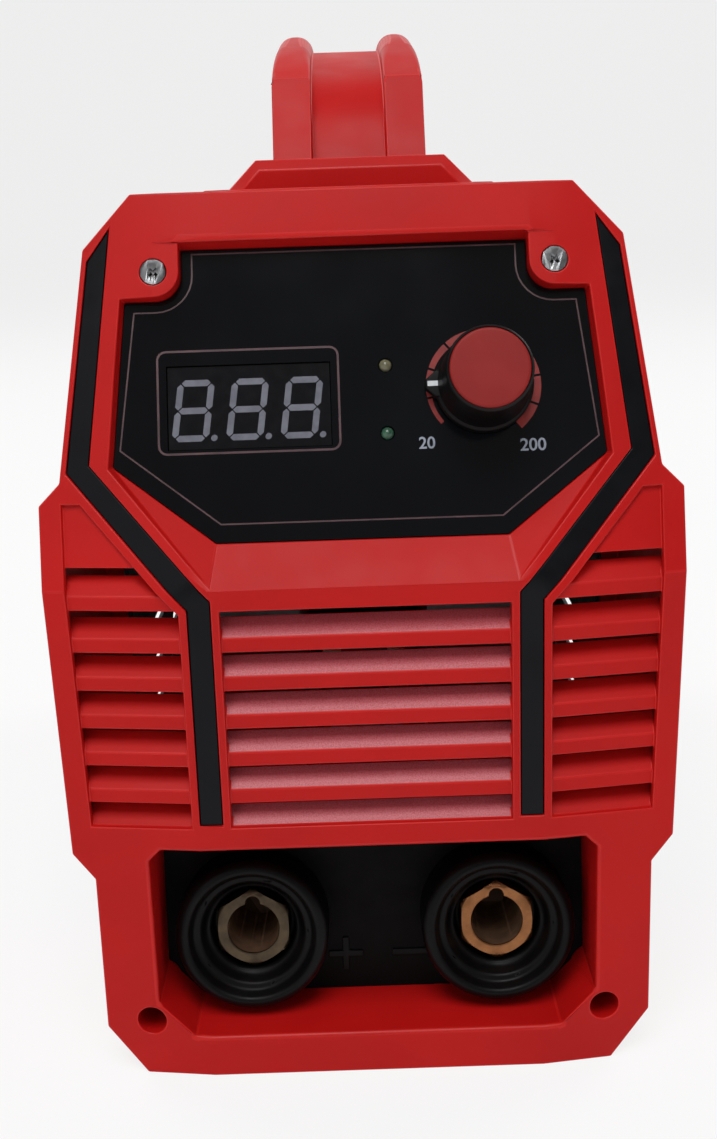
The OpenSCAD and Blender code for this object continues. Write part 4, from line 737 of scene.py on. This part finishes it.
def draw_in(piece):
    for vert in piece.data.vertices:
        height = (vert.co - knob_foot).dot(FACE_OUT)
        rise = min(max((height / MM - SKIRT_TOP) / (KNOB_TOP - SKIRT_TOP), 0), 1)
        on_axis = knob_foot + height * FACE_OUT
        vert.co = on_axis + (vert.co - on_axis) * (1 - (1 - TOP_SHARE) * rise)


for node, width, colour in (("knob_body", 0.3, knob_black), ("knob_cap", 0.7, cap_red)):
    draw_in(mould(node, width, colour))
print("share of the width left at the top:", TOP_SHARE)

# %% [markdown]
# A welding socket is a black stepped flange round a turned brass insert with a hexagonal face. On the brass only the
# bore's mouth is broken, which is where the picture shows a bright line, and the bore's wall is a duller brass.

# %% Welding sockets
SOCKET_S, MOUTH_REACH, WALL_REACH, FLUSH = 19.9, 8.7, 7.2, 0.02 * MM


def turned_insert(node, brass):
    insert = copy_of(node, "_turned", brass, bore_brass)
    corners = insert.data.vertices
    face = max((v.co - PLATE_FOOT).dot(PLATE_OUT) for v in corners)
    middle_x = sum(v.co.x for v in corners) / len(corners)

    def from_axis(point):
        return math.hypot(point.x - middle_x, point.dot(PLATE_UP) - SOCKET_S * MM) / MM

    def on_bore(edge):
        ends = [v.co - PLATE_FOOT for v in edge.verts]
        flat = all(abs(p.dot(PLATE_OUT) - face) < FLUSH for p in ends)
        return flat and is_edge(edge) and all(from_axis(p) < MOUTH_REACH for p in ends)

    for wall in insert.data.polygons:
        middle = wall.center - PLATE_FOOT
        sunk = middle.dot(PLATE_OUT) < face - ON_FACE
        wall.material_index = int(sunk and from_axis(middle) < WALL_REACH)
    print("bore edges:", pick(insert, "EDGE", on_bore))
    bevel_picked(0.45, 2, 0)
    shade(insert, 25)
    stand_for(insert, node)


for pole, brass in (("positive", brass_dull), ("negative", brass_gold)):
    mould(pole + "_socket_flange", 0.7, nylon_black)
    turned_insert(pole + "_socket_insert", brass)

# %% [markdown]
# The cable gland and the mains switch at the back are small mouldings too, and they only need their edges rounded.

# %% Gland and mains switch
for node, width, colour in (
    ("gland_dome_nut", 0.4, nylon_black), ("gland_body", 0.4, nylon_black),
    ("switch_body", 0.4, plate_black), ("switch_rocker", 0.5, rocker_red)
):
    mould(node, width, colour)

# %% [markdown]
# Every screw that shows has a cross recess. Several screws share one node, so the copy's separate islands are found
# first, each with the middle, direction and radius of its head.

# %% Finding the screw heads
def islands(mesh):
    seen = set()
    for seed in mesh.verts:
        island, todo = [], [seed]
        while todo:
            vert = todo.pop()
            if vert not in seen:
                seen.add(vert)
                island.append(vert)
                todo += [edge.other_vert(vert) for edge in vert.link_edges]
        if island:
            yield island


def heads(piece, axis_of):
    mesh = bmesh.new()
    mesh.from_mesh(piece.data)
    found = []
    for island in islands(mesh):
        axis = axis_of(sum((v.co for v in island), Vector()) / len(island))
        top = max(v.co.dot(axis) for v in island)
        rim = [v.co for v in island if v.co.dot(axis) > top - FLUSH]
        centre = sum(rim, Vector()) / len(rim)
        found.append((centre, axis, max((p - centre).length for p in rim)))
    mesh.free()
    return found


print("nodes of screws:", sorted(n for n in nodes if n.endswith("_screws")))

# %% [markdown]
# A slim bar that tapers downwards is the punch, sized by the head's radius. Its place is written into its mesh, as it
# is for every finished piece, so that the piece sits at the origin as the loaded nodes do.

# %% A punch for one head
RECESS_DEPTH, BAR_LENGTH, BAR_WIDTH, BAR_TAPER = 1.1 * MM, 1.25, 0.3, (0.55, 0.7, 1)


def settle(obj, place):
    only(obj)
    obj.matrix_world = place @ obj.matrix_world
    bpy.ops.object.transform_apply(location=True, rotation=True, scale=True)
    return obj


def punch(centre, axis, radius, turn):
    bpy.ops.mesh.primitive_cube_add(size=1)
    bar = added("recess_bar")
    bar.scale = (BAR_LENGTH * radius, BAR_WIDTH * radius, 2 * RECESS_DEPTH)
    bpy.ops.object.transform_apply(scale=True)
    pick(bar, "FACE", lambda f: f.normal.z < -0.9)
    bpy.ops.transform.resize(value=BAR_TAPER)
    leave_edit()
    spin = Matrix.Rotation(math.radians(turn), 4, "Z")
    return settle(bar, Matrix.Translation(centre) @ axis.to_track_quat("Z", "Y").to_matrix().to_4x4() @ spin)


print("recess depth in mm:", round(RECESS_DEPTH / MM, 2))

# %% [markdown]
# One bar is set into each head of a node and all are joined, then turned a quarter for the second cut. Both cuts are
# taken away with the Boolean modifier, which leaves a cross as a punch does.

# %% Cross recesses
FRONT, REAR = Vector((0, -1, 0)), Vector((0, 1, 0))


def join(pieces, name):
    only(pieces[0])
    for piece in pieces:
        piece.select_set(True)
    bpy.ops.object.join()
    return added(name)


def recess(node, axis_of):
    piece = copy_of(node, "_cross", zinc)
    places = heads(piece, axis_of)
    for turn in (45, 135):
        bars = join([punch(*place, turn) for place in places], "recess_bars")
        apply_modifier(piece, "BOOLEAN", operation="DIFFERENCE", solver="EXACT", object=bars)
        bpy.data.objects.remove(bars)
    shade(piece, 30)
    stand_for(piece, node)


recess("panel_screws", lambda middle: FACE_OUT)
recess("socket_plate_screws", lambda middle: PLATE_OUT)
recess("cover_screws", lambda middle: Vector((math.copysign(1, middle.x), 0, 0)))
for node, out in (
    ("fan_screws", REAR), ("inlet_plate_screws", REAR),
    ("front_foot_screws", FRONT), ("rear_foot_screws", REAR)
):
    recess(node, lambda middle: out)

# %% [markdown]
# Print on the panel is ink a few hundredths of a millimetre thick. It is drawn flat, in the panel's own plane, as a
# filled outline that is inset to leave a line, given its thickness, and only then turned into place.

# %% Helpers for printed lines
INK = 0.06


def outline(name, points):
    bpy.ops.mesh.primitive_circle_add(vertices=len(points), radius=1, fill_type="NGON")
    obj = added(name)
    for vert, point in zip(obj.data.vertices, points):
        vert.co = (point[0] * MM, point[1] * MM, 0)
    return obj


def thicken(obj, height):
    apply_modifier(obj, "SOLIDIFY", thickness=height * MM, offset=0)
    pick_all(obj)
    bpy.ops.mesh.normals_make_consistent(inside=False)
    leave_edit()


def line_round(name, points, width, height, place):
    obj = outline(name, points)
    pick_all(obj)
    bpy.ops.mesh.inset(thickness=width * MM)
    bpy.ops.mesh.delete(type="FACE")
    leave_edit()
    thicken(obj, height)
    return settle(obj, place)


def arc(centre, radius, start, stop, count):
    steps = [math.radians(start + (stop - start) * k / count) for k in range(count + 1)]
    return [(centre[0] + radius * math.cos(a), centre[1] + radius * math.sin(a)) for a in steps]


print("ink in mm:", INK)

# %% [markdown]
# The first line follows the panel's edge and steps round the two screw corners. Its right half is written down and
# the left half is the same points mirrored. The second is a box with round corners about the display.

# %% The line round the panel and the frame round the display
EDGE_LINE, BOX_LINE, BOX_CORNER = 0.36, 0.5, 2.2
BOX_LEFT, BOX_LOW, BOX_RIGHT, BOX_HIGH = -47.0, 32.5, -4.2, 57.3
right_half = [(32.8, 15.8), (56.0, 33.9), (52.1, 66.7)] + arc((46.8, 75.2), 8.5, 270, 180, 8) + [(38.3, 80.4)]
edge_points = right_half + [(-x, s) for x, s in reversed(right_half)]
mount(line_round("panel_edge_line", edge_points, EDGE_LINE, INK, PANEL), "chassis", print_line)
near_x, far_x = BOX_LEFT + BOX_CORNER, BOX_RIGHT - BOX_CORNER
near_s, far_s = BOX_LOW + BOX_CORNER, BOX_HIGH - BOX_CORNER
box_points = []
for quarter, centre in enumerate(((far_x, far_s), (near_x, far_s), (near_x, near_s), (far_x, near_s))):
    box_points += arc(centre, BOX_CORNER, 90 * quarter, 90 * quarter + 90, 4)
mount(line_round("display_frame_line", box_points, BOX_LINE, INK, PANEL), "chassis", print_line)

# %% [markdown]
# The display shows three unlit figures, each of seven bars with a point. One bar is a flat strip whose corners are
# bevelled to a point, and it is made at each of the seven places. Such figures lean by about eight degrees, which is
# a shear of the finished figure, written straight into its mesh.

# %% Seven-segment figures
FIGURE_H, FIGURE_W, STROKE, BAR_GAP, LEAN = 13.1, 7.2, 1.5, 0.5, 0.13
FIGURES_X, FIGURES_S, FIGURES_SUNK = (-38.6, -25.9, -13.2), 43.0, 0.48
POINT_X, POINT_RADIUS, TIP_SHARE = 5.6, 0.75, 0.46
SHEAR = Matrix(((1, LEAN, 0, 0), (0, 1, 0, 0), (0, 0, 1, 0), (0, 0, 0, 1)))


def shift(x, s, lift=0):
    return Matrix.Translation((x * MM, s * MM, lift * MM))


def segment(length, x, s, turn):
    bpy.ops.mesh.primitive_plane_add(size=1)
    obj = added("segment")
    obj.scale = (length * MM, STROKE * MM, 1)
    bpy.ops.object.transform_apply(scale=True)
    pick_all(obj, "VERT")
    bpy.ops.mesh.bevel(offset=TIP_SHARE * STROKE * MM, segments=1, affect="VERTICES")
    leave_edit()
    return settle(obj, shift(x, s) @ Matrix.Rotation(math.radians(turn), 4, "Z"))


def figure(name):
    bars = [segment(FIGURE_W - BAR_GAP, 0, k * FIGURE_H / 2, 0) for k in (-1, 0, 1)]
    for side in (-1, 1):
        for half in (-1, 1):
            bars.append(segment(FIGURE_H / 2 - BAR_GAP, side * FIGURE_W / 2, half * FIGURE_H / 4, 90))
    bpy.ops.mesh.primitive_circle_add(vertices=20, radius=POINT_RADIUS * MM, fill_type="NGON")
    bars.append(settle(added("point"), shift(POINT_X, -FIGURE_H / 2)))
    return join(bars, name)


for count, middle in enumerate(FIGURES_X, 1):
    digit = figure(f"display_figure_{count}")
    digit.data.transform(SHEAR)
    thicken(digit, INK)
    mount(settle(digit, PANEL @ shift(middle, FIGURES_S, -FIGURES_SUNK)), "chassis", segment_grey)

# %% [markdown]
# Round the knob runs a red band in nine steps that widens towards the high end, which tells the welder at a glance
# where the current grows. Each step is a flat grid whose points are laid round the knob's centre, so its two edges
# are true arcs, and a narrow dark gap is left between the steps.

# %% Dial band
DIAL_START, DIAL_SWEEP, DIAL_STEPS, DIAL_RADIUS = 222.0, 274.0, 9, 13.5
BAND_LOW, BAND_GROWTH, STEP_GAP = 0.9, 2.2, 0.08
steps = []
for step in range(DIAL_STEPS):
    bpy.ops.mesh.primitive_grid_add(x_subdivisions=8, y_subdivisions=1, size=2)
    grid = added("dial_step")
    for vert in grid.data.vertices:
        along = (step + STEP_GAP / 2 + (1 - STEP_GAP) * (vert.co.x + 1) / 2) / DIAL_STEPS
        angle = math.radians(DIAL_START - DIAL_SWEEP * along)
        radius = DIAL_RADIUS - (1 - vert.co.y) / 2 * (BAND_LOW + BAND_GROWTH * along)
        vert.co = ((KNOB_X + radius * math.cos(angle)) * MM, (KNOB_S + radius * math.sin(angle)) * MM, 0)
    steps.append(grid)
dial = join(steps, "dial_band")
thicken(dial, INK)
mount(settle(dial, PANEL), "chassis", dial_red)

# %% [markdown]
# Plain numbers stand at both ends of the band. Text starts as a curve, so it gets its thickness there, becomes a mesh
# with its doubles merged, and is then turned into place.

# %% Numbers of the dial
STROKE_GAIN = 0.06


def dial_number(text, x, s, size):
    bpy.ops.object.text_add()
    obj = added("dial_number_" + text)
    obj.data.body = text
    obj.data.size = size * MM
    obj.data.align_x, obj.data.align_y = "CENTER", "CENTER"
    obj.data.offset = STROKE_GAIN * MM
    obj.data.extrude = INK / 2 * MM
    bpy.ops.object.convert(target="MESH")
    pick_all(obj)
    bpy.ops.mesh.remove_doubles(threshold=SHORTEST)
    bpy.ops.mesh.normals_make_consistent(inside=False)
    leave_edit()
    mount(settle(obj, PANEL @ shift(x, s)), "chassis", print_pale)


dial_number("20", 15.7, 33.4, 3.9)
dial_number("200", 40.4, 32.2, 4.1)

# %% [markdown]
# A short white bar on the knob's pointer shows the setting. It turns with the knob, so it rides on the knob's body.
# Polarity signs stand beside the sockets as raised bars in the black plate, with their edges rounded.

# %% Pointer mark and polarity signs
POINTER_X, POINTER_LIFT, POINTER_HEIGHT = 17.4, 3.9, 0.1
SIGN_WIDTH, SIGN_HEIGHT, SIGN_S, SIGN_ROUND = 1.6, 1.2, 9.2, 0.2


def solid_sign(name, points, height, place, rounding=0):
    obj = outline(name, points)
    thicken(obj, height)
    if rounding:
        round_edges(obj, rounding, segments=2)
    return settle(obj, place)


def strip(length, width):
    a, b = length / 2, width / 2
    return [(a, -b), (a, b), (-a, b), (-a, -b)]


def cross(size, width):
    a, b = size / 2, width / 2
    points, quarter = [], [(a, -b), (a, b), (b, b)]
    for _ in range(4):
        points += quarter
        quarter = [(-y, x) for x, y in quarter]
    return points


pointer_place = PANEL @ shift(POINTER_X, KNOB_S, POINTER_LIFT)
mount(solid_sign("pointer_mark", strip(2.6, 1.2), POINTER_HEIGHT, pointer_place), "knob", mark_white)
for name, points, x in (
    ("plus_sign", cross(8.8, SIGN_WIDTH), -7.8), ("minus_sign", strip(9.4, SIGN_WIDTH), 9.0)
):
    sign = solid_sign(name, points, SIGN_HEIGHT, PLATE @ shift(x, SIGN_S), SIGN_ROUND)
    mount(sign, "chassis", nylon_black)

# %% [markdown]
# The mains switch carries the usual line and ring in white. They lie on the rocker's two broad rear facets, which are
# found by adding up the areas of triangles that face the same way, so the marks tilt with the rocker.

# %% Switch marks
MARK_HEIGHT = 0.08
facets = {}
for face in nodes["switch_rocker"].data.polygons:
    if face.normal.y > 0.8:
        key = tuple(round(c, 2) for c in face.normal)
        facets.setdefault(key, []).append((face.area, face.center.copy(), face.normal.copy()))
broad = sorted(facets.values(), key=lambda rows: -sum(row[0] for row in rows))[:2]
lower, upper = sorted(broad, key=lambda rows: rows[0][1].z)


def on_facet(rows):
    centre = sum((middle * area for area, middle, _ in rows), Vector()) / sum(row[0] for row in rows)
    across, out = Vector((-1, 0, 0)), rows[0][2]
    return Matrix.Translation(centre) @ axes(across, out.cross(across), out)


ring = line_round("switch_off_ring", arc((0, 0), 2.4, 0, 345, 23), 0.8, MARK_HEIGHT, on_facet(lower))
mount(ring, "rocker", mark_white)
line = solid_sign("switch_on_line", strip(0.9, 4.6), MARK_HEIGHT, on_facet(upper))
mount(line, "rocker", mark_white)

# %% [markdown]
# Everything else keeps its solid as it is and only takes its finish: sheet metal, boards, fan, heat sinks and the
# parts of the power stage, most of which show only through the louvres and vents. A solid that a copy stands for takes
# the copy's first finish, although it is hidden.

# %% Finishes of the remaining solids
finishes = {
    panel_film: ["control_panel"],
    window_tint: ["display_module"],
    fault_lens: ["fault_lamp"],
    power_lens: ["power_lamp"],
    plate_black: ["socket_plate", "inlet_plate", "gland_locknut"],
    fan_black: ["fan_frame", "fan_rotor"],
    powder_coat: ["cover", "base_tray"],
    zinc: [
        "board_nuts", "current_control_can", "current_control_nut", "current_control_shaft", "handle_screws",
        "stud_nuts", "board_standoffs"
    ],
    brass_gold: ["earth_stud", "earth_nuts"],
    brass_dull: ["socket_nuts"],
    copper: ["positive_busbar", "negative_busbar"],
    board_green: ["control_board", "main_board"],
    aluminium: ["left_heat_sink", "right_heat_sink"],
    epoxy_black: ["transistors", "output_diodes"],
    can_sleeve: ["reservoir_capacitors"],
    ferrite: ["transformer_core"],
    tape: ["transformer_winding"],
}
wanted = {name: material for material, names in finishes.items() for name in names}
wanted.update({n: o.data.materials[0] for o in bpy.data.objects for n in o.get("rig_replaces", [])})
for name, material in wanted.items():
    paint(nodes[name], material)
print("nodes without a finish:", sorted(set(nodes) - set(wanted)))

# %% [markdown]
# The view layer is brought up to date at the end.

# %% Last update
bpy.context.view_layer.update()
